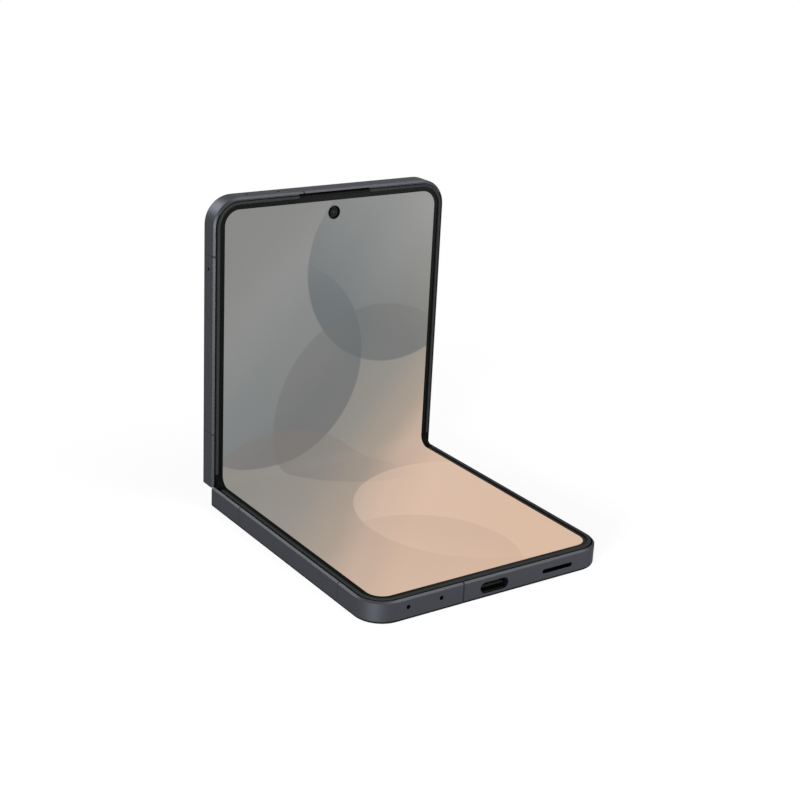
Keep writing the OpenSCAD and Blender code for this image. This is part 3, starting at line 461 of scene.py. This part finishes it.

# %% [markdown]
# The surround is a soft black frame that is glued round the screen. Its outer rim
# stands three tenths of a millimetre high and has a fine matt texture, and towards the
# picture it ends in a darker, smoother strip. The two tones follow the distance from
# the edge of the telephone, which the nodes measure from the place on the surface.
# Beside the earpiece the rim is painted nearly as dark as the strip: painted shade.
# %% Surround of the screen
RIM_INNER, RIM_SHARPNESS, SLIT_HALF = 1.7, 12000.0, 11.6
material, tree = new_material("surround")
spot = split_place(tree)
inside = node(tree, "Group", {"node_tree": outline}).outputs
inner = sums(tree, "MULTIPLY_ADD", inside["Depth"], RIM_SHARPNESS, -RIM_SHARPNESS * RIM_INNER * MM,
             clamp=True)
tint = layered(tree, inner, colour(38, 39, 39), colour(7, 8, 8))
dull = sums(tree, "MULTIPLY_ADD", inner, -0.12, 0.5)
# Painted shade on the rim beside the earpiece slit.
slit_shade = sums(tree, "MULTIPLY", near_middle(tree, spot, SLIT_HALF),
                 sums(tree, "GREATER_THAN", spot["Z"], end_zone_z))
tint = layered(tree, slit_shade, tint, colour(12, 12, 13))
principled(tree, detailed(tree, tint, dull, (0.12, 120.0), 0.06, (5000.0, 4e-6)), Specular_IOR_Level=0.035)
made["surround"] = material
print("surround changes tone", RIM_INNER, "mm from the edge")

# %% [markdown]
# The picture on the display is a plain backdrop of the studio's own: a drift from
# grey at the top left to a warm sand colour at the foot, with large see-through discs
# that fade to one side. One node group draws a disc, and a second lays them over
# the drift. Its inputs are millimetres across and along the unfolded screen, so the
# picture runs without a break over both halves and through the fold.
# %% Discs of the picture
DISC_SHARPNESS = 2.2
disc, given, out = group("soft_disc", [
    ("Across", "Float"), ("Along", "Float"), ("Centre Across", "Float"), ("Centre Along", "Float"),
    ("Radius", "Float"), ("Fade Across", "Float"), ("Fade Along", "Float"), ("Strength", "Float")],
    [("Mask", "Float")])
dx = sums(disc, "SUBTRACT", given["Across"], given["Centre Across"])
dv = sums(disc, "SUBTRACT", given["Along"], given["Centre Along"])
spread = sums(disc, "SQRT", sums(disc, "ADD", sums(disc, "MULTIPLY", dx, dx), sums(disc, "MULTIPLY", dv, dv)))
within = sums(disc, "MULTIPLY_ADD", sums(disc, "SUBTRACT", given["Radius"], spread), DISC_SHARPNESS, 0.5,
              clamp=True)
fade = sums(disc, "MULTIPLY_ADD", dx, given["Fade Across"], 0.5)
fade = sums(disc, "MULTIPLY_ADD", dv, given["Fade Along"], fade, clamp=True)
mask = sums(disc, "MULTIPLY", sums(disc, "MULTIPLY", within, fade), given["Strength"])
disc.links.new(mask, out.inputs["Mask"])
print("group", disc.name, "with", len(disc.nodes), "nodes")

# %% [markdown]
# The drift is a colour ramp that runs along the screen and a little across it. The
# discs then lie over it, one after the other. The drift's table holds the place on
# the ramp and a colour. That of the discs holds the centre across and along, the
# radius, the direction in which the disc is strongest, its strength and its colour.
# %% Picture on the display
DRIFT_SLANT, DRIFT_LENGTH = -1.1, 220
picture, given, out = group("backdrop_picture", [("Across", "Float"), ("Along", "Float")],
                            [("Color", "Color")])
slant = sums(picture, "MULTIPLY_ADD", given["Across"], DRIFT_SLANT, given["Along"])
ramp = node(picture, "ValToRGB", Fac=sums(picture, "MULTIPLY_ADD", slant, 1 / DRIFT_LENGTH, 0.5))
DRIFT = ((0.02, (216, 184, 160)), (0.27, (211, 182, 161)), (0.35, (198, 174, 157)), (0.43, (171, 158, 145)),
         (0.52, (156, 152, 145)), (0.66, (152, 152, 149)), (0.78, (143, 144, 143)), (0.97, (134, 134, 132)))
stops = ramp.color_ramp.elements
stops[0].position, stops[1].position = DRIFT[0][0], DRIFT[-1][0]
stops[0].color, stops[1].color = colour(*DRIFT[0][1]), colour(*DRIFT[-1][1])
for position, shade in DRIFT[1:-1]:
    stops.new(position).color = colour(*shade)
ramp.color_ramp.interpolation = "EASE"
shown = ramp.outputs["Color"]
DISCS = (
    (22, 60, 30, -0.012, -0.022, 0.62, (92, 100, 104)),
    (-20, 34, 31, 0.016, -0.020, 0.58, (86, 95, 100)),
    (16, 14, 34, -0.020, 0.012, 0.50, (112, 112, 110)),
    (-16, -22, 36, -0.014, 0.018, 0.42, (128, 120, 114)),
    (20, -46, 33, -0.020, 0.014, 0.30, (238, 206, 184)),
    (-10, -66, 26, 0.02, 0.016, 0.22, (176, 150, 134)),
)
for across, along, radius, fade_x, fade_v, strength, shade in DISCS:
    mask = node(picture, "Group", {"node_tree": disc}, Across=given["Across"], Along=given["Along"],
                Centre_Across=float(across), Centre_Along=float(along), Radius=float(radius),
                Fade_Across=fade_x, Fade_Along=fade_v, Strength=strength).outputs[0]
    shown = layered(picture, mask, shown, colour(*shade))
picture.links.new(shown, out.inputs["Color"])
print("picture with", len(DISCS), "discs")

# %% [markdown]
# A display gives its own light, so most of the picture goes into the shader's
# emission and only a little into its base colour. The front has a low gloss, as the
# soft film over such a screen has. On the rigid halves the place in the picture
# comes from the place on the object; the sheet in the fold carries it as an
# attribute. Faces below the front, such as the wall of the camera hole, stay dark,
# and so does a narrow ring round that hole, where the panel has no dots of light.
# %% Display finish
LIT_SHARE, HOLE_MASK, FRONT_U = 0.96, 1.95, 76.7
FRONT_DEPTH, FRONT_FLAG = 0.02, 0.98
camera_hole = upper_point(0, FRONT_U, 0)


def display(name, where):
    material, tree = new_material(name)
    if where == "fold":
        spot = node(tree, "SeparateXYZ", Vector=node(
            tree, "Attribute", {"attribute_name": "picture_place"}).outputs["Vector"]).outputs
        across, along, front = spot["X"], spot["Y"], sums(tree, "GREATER_THAN", spot["Z"], FRONT_FLAG)
    else:
        spot = split_place(tree)
        across = sums(tree, "MULTIPLY", spot["X"], 1 / MM)
        if where == "lower":
            along = sums(tree, "MULTIPLY", sums(tree, "SUBTRACT", spot["Y"], fold_y), 1 / MM)
            depth = sums(tree, "SUBTRACT", screen_z, spot["Z"])
        else:
            along = sums(tree, "MULTIPLY", sums(tree, "SUBTRACT", spot["Z"], upper_z), 1 / MM)
            depth = sums(tree, "SUBTRACT", spot["Y"], upper_y)
        front = sums(tree, "LESS_THAN", depth, FRONT_DEPTH * MM)
        if where == "upper":
            offset = node(tree, "VectorMath", {"operation": "SUBTRACT"}, i0=place_of(tree),
                          i1=tuple(camera_hole)).outputs[0]
            outside = sums(tree, "GREATER_THAN", length_of(tree, offset), HOLE_MASK * MM)
            front = sums(tree, "MULTIPLY", front, outside)
    drawn = node(tree, "Group", {"node_tree": picture}, Across=across, Along=along).outputs[0]
    lit = layered(tree, front, colour(12, 12, 12), drawn)
    base = node(tree, "VectorMath", {"operation": "SCALE"}, i0=lit, Scale=1 - LIT_SHARE).outputs[0]
    look = detailed(tree, base, 0.45, (0.02, 30.0), 0.05, (3000.0, 2e-7))
    shader = principled(tree, look, Emission_Strength=LIT_SHARE, Specular_IOR_Level=0.03)
    tree.links.new(lit, shader.inputs["Emission Color"])
    return material


for where in ("lower", "upper", "fold"):
    made["screen_" + where] = display("screen_" + where, where)
print("display finishes:", [name for name in made if name.startswith("screen_")])

# %% [markdown]
# Every CAD piece keeps its own shape and gets the finish of its trade. The table
# below says which is which, and the loop stops if a piece has been forgotten.
# %% Finishes of the CAD pieces
FINISHES = {
    "frame_metal_lower": "lower_frame",
    "frame_metal_upper": "upper_frame volume_key side_key card_tray",
    "aerial_plastic": "aerial_breaks_lower aerial_breaks_upper",
    "back_glass": "back_glass_lower",
    "cover_glass": "cover_glass",
    "window_glass": "camera_windows",
    "cover_panel": "cover_panel",
    "surround": "surround_lower surround_upper",
    "screen_lower": "screen_lower",
    "screen_upper": "screen_upper",
    "screen_fold": "screen_fold",
    "seal": "fold_seals spine_caps",
    "plate_metal": "support_plate_lower support_plate_upper tray_socket",
    "battery_pouch": "battery_lower battery_upper",
    "ferrite": "shield_sheet",
    "coil_copper": "charging_coil",
    "board": "port_board main_board",
    "shell_steel": "vibration_motor board_shields",
    "socket_steel": "usb_shell",
    "lens_black": "camera_modules front_camera usb_tongue",
    "black_plastic": "speaker_box carrier_lower earpiece_box",
    "mesh": "speaker_mesh earpiece_mesh",
    "sensor_gold": "microphones_lower microphones_upper key_switches flash_lamp",
    "screw_steel": "screws_lower screws_upper bracket_screws arm_screws_lower arm_screws_upper",
    "hinge_steel": "rotator_lower rotator_upper gear_arm_lower gear_arm_upper hinge_brackets "
                   "idler_gear_lower idler_gear_upper",
    "spine_metal": "spine_cover",
    "ring_metal": "camera_rings",
}
given_to = {piece: name for name, pieces in FINISHES.items() for piece in pieces.split()}
for name, piece in frame["nodes"].items():
    piece.data.materials.clear()
    piece.data.materials.append(made[given_to[name]])
print(len(frame["nodes"]), "CAD pieces dressed")

# %% [markdown]
# Pieces made here share one way of becoming an object: points and faces go into a
# mesh, doubles are merged, the faces are turned outwards, and an edge is drawn sharp
# where it bends by more than a set angle.
# %% Helper for new pieces
def piece(name, points, faces, finish_name, body=None, sharp=35.0):
    mesh = bpy.data.meshes.new(name)
    mesh.from_pydata([tuple(p) for p in points], [], faces)
    shell = bmesh.new()
    shell.from_mesh(mesh)
    bmesh.ops.remove_doubles(shell, verts=shell.verts, dist=1e-7)
    bmesh.ops.recalc_face_normals(shell, faces=shell.faces)
    shell.to_mesh(mesh)
    shell.free()
    for face in mesh.polygons:
        face.use_smooth = True
    mesh.set_sharp_from_angle(angle=math.radians(sharp))
    mesh.materials.append(made[finish_name])
    built = bpy.data.objects.new(name, mesh)
    bpy.context.scene.collection.objects.link(built)
    if body:
        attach(built, body)
    return built


print("helper for new pieces ready")

# %% [markdown]
# In the fold the screen is a soft sheet. It lies flat to the end of each rigid half
# and turns through a quarter circle between them. The way along it is written once,
# as a function that gives the place and the direction out of the sheet, and both the
# sheet and its edge seals are swept along that way.
# %% The way through the fold
FLAT = FOLD_ZONE - FOLD_RADIUS - (fold_y - upper_y) / MM
ARC = math.pi / 2 * FOLD_RADIUS
WAY = 2 * FLAT + ARC


def on_way(length):
    """Place in the y z plane and direction out of the screen, a length along the way."""
    if length <= FLAT:
        return lower_point(0, FOLD_ZONE - length, 0), Vector((0, 0, 1))
    if length >= FLAT + ARC:
        return upper_point(0, FOLD_ZONE - (WAY - length), 0), Vector((0, -1, 0))
    turn = (length - FLAT) / FOLD_RADIUS
    middle = lower_point(0, FOLD_ZONE - FLAT, FOLD_RADIUS)
    outward = Vector((0, -math.sin(turn), math.cos(turn)))
    return middle - outward * FOLD_RADIUS * MM, outward


def swept(section, start, end, steps):
    """A closed section of (x, height) pairs, drawn along part of the way."""
    points, faces, count = [], [], len(section)
    for step in range(steps + 1):
        spot, outward = on_way(start + (end - start) * step / steps)
        points += [spot + Vector((x * MM, 0, 0)) + outward * h * MM for x, h in section]
    for step in range(steps):
        for i in range(count):
            a, b = step * count + i, step * count + (i + 1) % count
            faces.append((a, b, b + count, a + count))
    faces += [tuple(range(count)), tuple(range(steps * count, (steps + 1) * count))]
    return points, faces


print("flat", round(FLAT, 3), "arc", round(ARC, 3), "way", round(WAY, 3), "mm")

# %% [markdown]
# The fold has two joints, and the sheet is made in two pieces that meet in the middle
# of the arc. Each point also stores its place in the picture, and whether it lies on
# the front.
# %% Screen in the fold
SHEET_INSET, SHEET_DEPTH, SHEET_COLUMNS, FOLD_STEPS = 1.8, 0.45, 24, 28
FRONT_REACH = 0.1
SHEET_HALF = HALF_WIDTH - SHEET_INSET
sheet_section = [(-SHEET_HALF, -SHEET_DEPTH), (SHEET_HALF, -SHEET_DEPTH)] + [
    (SHEET_HALF * (1 - 2 * i / SHEET_COLUMNS), 0) for i in range(SHEET_COLUMNS + 1)]
PARTS = (("lower", 0.0, WAY / 2, "lower_half", "spine"), ("upper", WAY / 2, WAY, "spine", "upper_half"))


def beside(spot, length):
    """How far a point lies along the way from the section at this length."""
    middle, outward = on_way(length)
    return abs((spot - middle).dot(outward.cross(Vector((1, 0, 0)))))


def picture_place(spot, lengths):
    """Millimetres across and along the picture, and 1 on the front of the sheet."""
    length = min(lengths, key=lambda choice: beside(spot, choice))
    middle, outward = on_way(length)
    front = 1.0 if (spot - middle).dot(outward) > -FRONT_REACH * MM else 0.0
    return [spot.x / MM, (length / WAY * 2 - 1) * FOLD_ZONE, front]


for label, start, end, body_a, body_b in PARTS:
    points, faces = swept(sheet_section, start, end, FOLD_STEPS)
    sheet = piece("fold_screen_" + label, points, faces, "screen_fold", sharp=50)
    lengths = [start + (end - start) * step / FOLD_STEPS for step in range(FOLD_STEPS + 1)]
    place = sheet.data.attributes.new("picture_place", "FLOAT_VECTOR", "POINT")
    values = [value for vertex in sheet.data.vertices for value in picture_place(vertex.co, lengths)]
    place.data.foreach_set("vector", values)
    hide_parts("screen_fold")
    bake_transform(sheet)
    print(sheet.name, len(sheet.data.polygons), "faces")

# %% [markdown]
# Beside the sheet, a thin soft seal covers its cut edge from one surround to the
# other. It is lower than the surrounds, so each of them ends in a small step. Its
# inner corner is cut off a little, and its outer corner is rounded.
# %% Seals in the fold
SEAL_INSET, SEAL_RISE, ROUND_ACROSS, ROUND_DOWN = 1.05, 0.12, 0.12, 0.1
CUT_ACROSS, CUT_DOWN = 0.05, 0.04
SEAL_INNER, SEAL_OUTER = HALF_WIDTH - BORDER_SIDE, HALF_WIDTH - SEAL_INSET
rounding = [(SEAL_OUTER - ROUND_ACROSS + ROUND_ACROSS * math.sin(a),
             SEAL_RISE - ROUND_DOWN + ROUND_DOWN * math.cos(a)) for a in (0, 0.4, 0.8, 1.2, math.pi / 2)]
seal_section = [(SEAL_INNER, 0), (SEAL_INNER, SEAL_RISE - CUT_DOWN), (SEAL_INNER + CUT_ACROSS, SEAL_RISE)]
seal_section += rounding + [(SEAL_OUTER, 0)]
for label, start, end, body_a, body_b in PARTS:
    points, faces = [], []
    for mirror in (1, -1):
        more, more_faces = swept([(mirror * x, h) for x, h in seal_section], start, end, FOLD_STEPS)
        faces += [tuple(i + len(points) for i in face) for face in more_faces]
        points += more
    seal = piece("fold_seal_" + label, points, faces, "seal", sharp=40)
    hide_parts("fold_seals")
    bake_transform(seal)
    print(seal.name, len(seal.data.polygons), "faces")

# %% [markdown]
# The lenses are small turned pieces, so one helper turns a profile of radius and
# height round an axis that stands square on the back of the upper half. A profile
# that starts and ends on the axis gives a closed body, because the doubles on the
# axis are merged to one point.
# %% Turned pieces on the upper half
def turned(profile, x, u, steps=48):
    points, faces, count = [], [], len(profile)
    for step in range(steps):
        angle = 2 * math.pi * step / steps
        points += [upper_point(x + r * math.cos(angle), u + r * math.sin(angle), w) for r, w in profile]
    for step in range(steps):
        near, far = step * count, (step + 1) % steps * count
        faces += [(near + i, near + i + 1, far + i + 1, far + i) for i in range(count - 1)]
    return points, faces


def dome(radius, rim, crown, base, steps=8):
    """Profile of a lens: a round cap from its crown to its rim, and a flat foot."""
    bend = (radius ** 2 + (rim - crown) ** 2) / (2 * (rim - crown))
    cap = [(radius * i / steps, crown + bend - math.copysign(
        math.sqrt(bend ** 2 - (radius * i / steps) ** 2), bend)) for i in range(steps + 1)]
    return cap + [(radius, base), (0, base)]


print("turning helper ready")

# %% [markdown]
# Behind each camera window sits a coated lens in a stepped black barrel. The barrel
# is a CAD piece. The lens is nearly black, and a violet and a green ring are painted
# on it as bands of colour over the distance from the axis: painted reflections of its
# coated glass. The lens over the screen is smaller, and its painted rings are grey.
# %% Lenses
CAMERAS, CAMERA_U, WELL, WELL_FLOOR = (26.6, 12.2), 73.0, 1.9, 1.2 - THICKNESS
LENS_PLAY, LENS_RIM, LENS_CROWN, LENS_FOOT = 0.03, 0.42, 0.82, 0.02
FRONT_RADIUS, FRONT_BANDS = 0.62, 0.75
COATING_REFLECTIONS = ((0.30, (10, 8, 18)), (0.48, (46, 26, 74)), (0.62, (14, 34, 40)), (0.8, (20, 18, 26)))
GREY_REFLECTIONS = ((0.35, (9, 9, 10)), (0.55, (17, 17, 18)), (0.7, (11, 11, 12)), (0.85, (20, 20, 20)))


def lens_finish(name, x, u, radius, shades, roughness, **gloss):
    material, tree = new_material(name)
    spot = node(tree, "VectorMath", {"operation": "SUBTRACT"}, i0=place_of(tree),
                i1=tuple(upper_point(x, u, 0))).outputs[0]
    flat = node(tree, "VectorMath", {"operation": "MULTIPLY"}, i0=spot, i1=(1, 0, 1)).outputs[0]
    bands = node(tree, "ValToRGB", Fac=sums(tree, "MULTIPLY", length_of(tree, flat), 1 / (radius * MM)))
    stops = bands.color_ramp.elements
    stops[0].position, stops[1].position = 0.0, 1.0
    stops[0].color, stops[1].color = colour(6, 6, 9), colour(10, 10, 12)
    # The rings are painted reflections of the coated glass.
    for position, shade in shades:
        stops.new(position).color = colour(*shade)
    look = detailed(tree, bands.outputs["Color"], roughness, (0.05, 900.0), 0.03, (3000.0, 1e-9))
    principled(tree, look, **gloss)
    return material


camera_dome = dome(WELL - LENS_PLAY, *(WELL_FLOOR - below for below in (LENS_RIM, LENS_CROWN, LENS_FOOT)))
for number, x in enumerate(CAMERAS, 1):
    name = f"camera_lens_{number}"
    made[name] = lens_finish(name, x, CAMERA_U, WELL, COATING_REFLECTIONS, 0.04, IOR=1.6, Coat_Weight=0.6,
                             Coat_Roughness=0.03)
    points, faces = turned(camera_dome, x, CAMERA_U)
    piece(name, points, faces, name, "upper_half", sharp=40)
made["front_lens"] = lens_finish("front_lens", 0, FRONT_U, FRONT_BANDS, GREY_REFLECTIONS, 0.3, Specular_IOR_Level=0.15)
points, faces = turned(dome(FRONT_RADIUS, rim=-0.38, crown=-0.24, base=-0.42), 0, FRONT_U, steps=32)
piece("front_camera_lens", points, faces, "front_lens", "upper_half", sharp=40)
print("lenses at x =", CAMERAS, "and over the screen")

# %% [markdown]
# The lamp beside the cameras has a small stepped lens in its opening, pressed with
# rings that spread the light. The rings are real steps of a few hundredths of a
# millimetre, so they are part of the turned profile.
# %% Lamp lens
LAMP_X, LAMP_RADIUS, LAMP_BACK, RINGS, RING_WIDTH = 2.4, 1.58, 0.06, 7, 0.2
RING_LOW, RING_HIGH, RING_WALL = 0.045, 0.015, 0.01
profile = [(0, 0.02)]
for ring in range(RINGS):
    profile += [((ring + 1) * RING_WIDTH, RING_LOW), ((ring + 1) * RING_WIDTH + RING_WALL, RING_HIGH)]
profile += [(LAMP_RADIUS, 0.01), (LAMP_RADIUS, LAMP_BACK), (0, LAMP_BACK)]
profile = [(r, depth - THICKNESS) for r, depth in profile]
points, faces = turned(profile, LAMP_X, CAMERA_U)
made["lamp"] = finish("lamp", colour(236, 226, 188), 0.22, (0.06, 700.0), 0.08, (3000.0, 1e-7),
                      Subsurface_Weight=0.2, Subsurface_Scale=0.001)
piece("flash_lens", points, faces, "lamp", "upper_half", sharp=20)
print("lamp lens with", RINGS, "rings")

# %% [markdown]
# Contacts and wires repeat by a rule, and Geometry Nodes are made for that. The
# first helper starts such a tree with named inputs, and the next adds a node to it.
# Two more join what a tree has made, and end it in real faces with a finish. The
# last grows a tree into a plain mesh: the modifier's inputs are set by their
# identifiers, the result is copied, and the object that carried the modifier goes.
# %% Helpers for Geometry Nodes
def grower(name, inputs):
    tree = bpy.data.node_groups.new(name, "GeometryNodeTree")
    for label, kind in inputs:
        tree.interface.new_socket(label, in_out="INPUT", socket_type="NodeSocket" + kind)
    tree.interface.new_socket("Geometry", in_out="OUTPUT", socket_type="NodeSocketGeometry")
    return tree, tree.nodes.new("NodeGroupInput").outputs, tree.nodes.new("NodeGroupOutput")


def geo(tree, kind, props=None, **inputs):
    return node(tree, kind, props, "GeometryNode", **inputs).outputs


def joined(tree, *parts):
    join = tree.nodes.new("GeometryNodeJoinGeometry")
    for part in parts:
        tree.links.new(part, join.inputs[0])
    return join.outputs[0]


def end_tree(tree, grown, out, finish_name):
    whole = geo(tree, "RealizeInstances", Geometry=grown)[0]
    tree.links.new(geo(tree, "SetMaterial", Geometry=whole, Material=made[finish_name])[0], out.inputs[0])


def grow(name, tree, values):
    seed = bpy.data.objects.new(name + "_seed", bpy.data.meshes.new(name + "_seed"))
    bpy.context.scene.collection.objects.link(seed)
    modifier = seed.modifiers.new("grow", "NODES")
    modifier.node_group = tree
    for item in tree.interface.items_tree:
        if item.in_out == "INPUT":
            modifier[item.identifier] = values[item.name]
    graph = bpy.context.evaluated_depsgraph_get()
    mesh = bpy.data.meshes.new_from_object(seed.evaluated_get(graph))
    bpy.data.objects.remove(seed)
    grown = bpy.data.objects.new(name, mesh)
    bpy.context.scene.collection.objects.link(grown)
    return grown


print("growing helpers ready")

# %% [markdown]
# Inside the charging socket a flat tongue carries two rows of gold-plated contacts,
# twelve above and twelve below, half a millimetre apart. A mesh line gives the
# places, a small block is put on each, and a second row is made under the tongue.
# %% Contacts of the charging socket
CONTACT_INSET = 3.7
contact_tree, given, out = grower("contact_rows", [
    ("Count", "Int"), ("Pitch", "Float"), ("Width", "Float"), ("Length", "Float"), ("Thickness", "Float"),
    ("Tongue", "Float")])
size = node(contact_tree, "CombineXYZ", X=given["Width"], Y=given["Length"], Z=given["Thickness"]).outputs[0]
block = geo(contact_tree, "MeshCube", Size=size)[0]
row = sums(contact_tree, "MULTIPLY", sums(contact_tree, "SUBTRACT", given["Count"], 1.0), given["Pitch"])
first = sums(contact_tree, "MULTIPLY", row, -0.5)
stack = sums(contact_tree, "ADD", given["Tongue"], given["Thickness"])
half_lift = sums(contact_tree, "MULTIPLY", stack, 0.5)
rows = []
for lift in (half_lift, sums(contact_tree, "MULTIPLY", half_lift, -1.0)):
    start = node(contact_tree, "CombineXYZ", X=first, Z=lift).outputs[0]
    step = node(contact_tree, "CombineXYZ", X=given["Pitch"]).outputs[0]
    line = geo(contact_tree, "MeshLine", Count=given["Count"], Start_Location=start, Offset=step)[0]
    rows.append(geo(contact_tree, "InstanceOnPoints", Points=line, Instance=block)[0])
end_tree(contact_tree, joined(contact_tree, *rows), out, "sensor_gold")
contacts = grow("charging_contacts", contact_tree, {
    "Count": 12, "Pitch": 0.5 * MM, "Width": 0.26 * MM, "Length": 4.2 * MM, "Thickness": 0.03 * MM,
    "Tongue": 0.7 * MM})
contacts.data.transform(Matrix.Translation(lower_point(0, HALF_LENGTH - CONTACT_INSET, -THICKNESS / 2)))
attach(contacts, "lower_half")
print("contacts:", len(contacts.data.polygons), "faces")

# %% [markdown]
# The loudspeaker and the earpiece are closed by a fine woven mesh. Each wire is a
# curve that waves over and under the wires it crosses, half a wave out of step
# with its neighbours, and is given a round section. Wires of one direction stand on
# a mesh line, the odd ones with the wave turned over.
# %% Wires of the woven mesh
WIRE_SIDES, BENDS_PER_CROSSING, CROSSING_ROOM = 5, 4, 1.05
weave_tree, given, out = grower("woven_mesh", [
    ("Width", "Float"), ("Height", "Float"), ("Pitch", "Float"), ("Wire", "Float")])


def wires(along, length, spread, sign):
    """Wires that run along x or y, laid side by side over the other direction."""
    tree, across = weave_tree, "Y" if along == "X" else "X"
    crossings = sums(tree, "ROUND", sums(tree, "DIVIDE", length, given["Pitch"]))
    first_crossing = sums(tree, "MULTIPLY", sums(tree, "MULTIPLY_ADD", crossings, -0.5, 0.5),
                          given["Pitch"])
    end = sums(tree, "MULTIPLY", length, 0.5)
    line = geo(tree, "CurvePrimitiveLine",
               Start=node(tree, "CombineXYZ", **{along: sums(tree, "MULTIPLY", end, -1.0)}).outputs[0],
               End=node(tree, "CombineXYZ", **{along: end}).outputs[0])[0]
    fine = geo(tree, "ResampleCurve", {"mode": "LENGTH"}, Curve=line,
               Length=sums(tree, "MULTIPLY", given["Pitch"], 1 / BENDS_PER_CROSSING))[0]
    spot = node(tree, "SeparateXYZ", Vector=geo(tree, "InputPosition")[0]).outputs[along]
    turn = sums(tree, "DIVIDE", sums(tree, "SUBTRACT", spot, first_crossing), given["Pitch"])
    wave = sums(tree, "COSINE", sums(tree, "MULTIPLY", turn, math.pi))
    section = geo(tree, "CurvePrimitiveCircle", Resolution=WIRE_SIDES, Radius=given["Wire"])["Curve"]
    count = sums(tree, "ROUND", sums(tree, "DIVIDE", spread, given["Pitch"]))
    first_wire = sums(tree, "MULTIPLY", sums(tree, "MULTIPLY_ADD", count, -0.5, 0.5), given["Pitch"])
    places = geo(tree, "MeshLine", Count=count,
                 Start_Location=node(tree, "CombineXYZ", **{across: first_wire}).outputs[0],
                 Offset=node(tree, "CombineXYZ", **{across: given["Pitch"]}).outputs[0])[0]
    odd = sums(tree, "MODULO", geo(tree, "InputIndex")[0], 2.0)
    rows = []
    for chosen, swing in ((odd, -sign), (sums(tree, "SUBTRACT", 1.0, odd), sign)):
        lift = sums(tree, "MULTIPLY", sums(tree, "MULTIPLY", wave, given["Wire"]), CROSSING_ROOM * swing)
        bent = geo(tree, "SetPosition", Geometry=fine, Offset=node(tree, "CombineXYZ", Z=lift).outputs[0])[0]
        round_wire = geo(tree, "CurveToMesh", Curve=bent, Profile_Curve=section, Fill_Caps=True)[0]
        rows.append(geo(tree, "InstanceOnPoints", Points=places, Selection=chosen, Instance=round_wire)[0])
    return rows


woven = wires("X", given["Width"], given["Height"], 1) + wires("Y", given["Height"], given["Width"], -1)
end_tree(weave_tree, joined(weave_tree, *woven), out, "mesh")
print("tree", weave_tree.name, "with", len(weave_tree.nodes), "nodes")

# %% [markdown]
# The tree is grown twice with sizes of its own: a coarse weave for the loudspeaker
# slot in the lower rail, and a finer one for the narrow slot of the earpiece in the
# upper rail. The tree weaves in a level plane, so each is turned to face outwards.
# %% Woven mesh of the loudspeaker and the earpiece
SPEAKER_X, SPEAKER_INSET = 20.8, 1.75
EARPIECE_INSET, EARPIECE_DROP = 0.715, 0.6
upright = Matrix.Rotation(math.pi / 2, 4, "X")
speaker = grow("speaker_weave", weave_tree, {
    "Width": 9.9 * MM, "Height": 1.15 * MM, "Pitch": 0.19 * MM, "Wire": 0.04 * MM})
speaker_place = lower_point(SPEAKER_X, HALF_LENGTH - SPEAKER_INSET, -THICKNESS / 2)
speaker.data.transform(Matrix.Translation(speaker_place) @ upright)
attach(speaker, "lower_half")
earpiece = grow("earpiece_weave", weave_tree, {
    "Width": 22.8 * MM, "Height": 0.36 * MM, "Pitch": 0.12 * MM, "Wire": 0.026 * MM})
earpiece_place = upper_point(0, HALF_LENGTH - EARPIECE_INSET, -EARPIECE_DROP)
earpiece.data.transform(Matrix.Translation(earpiece_place) @ upright)
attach(earpiece, "upper_half")
for weave, hidden in ((speaker, "speaker_mesh"), (earpiece, "earpiece_mesh")):
    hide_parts(hidden)
    print(weave.name, len(weave.data.polygons), "faces")
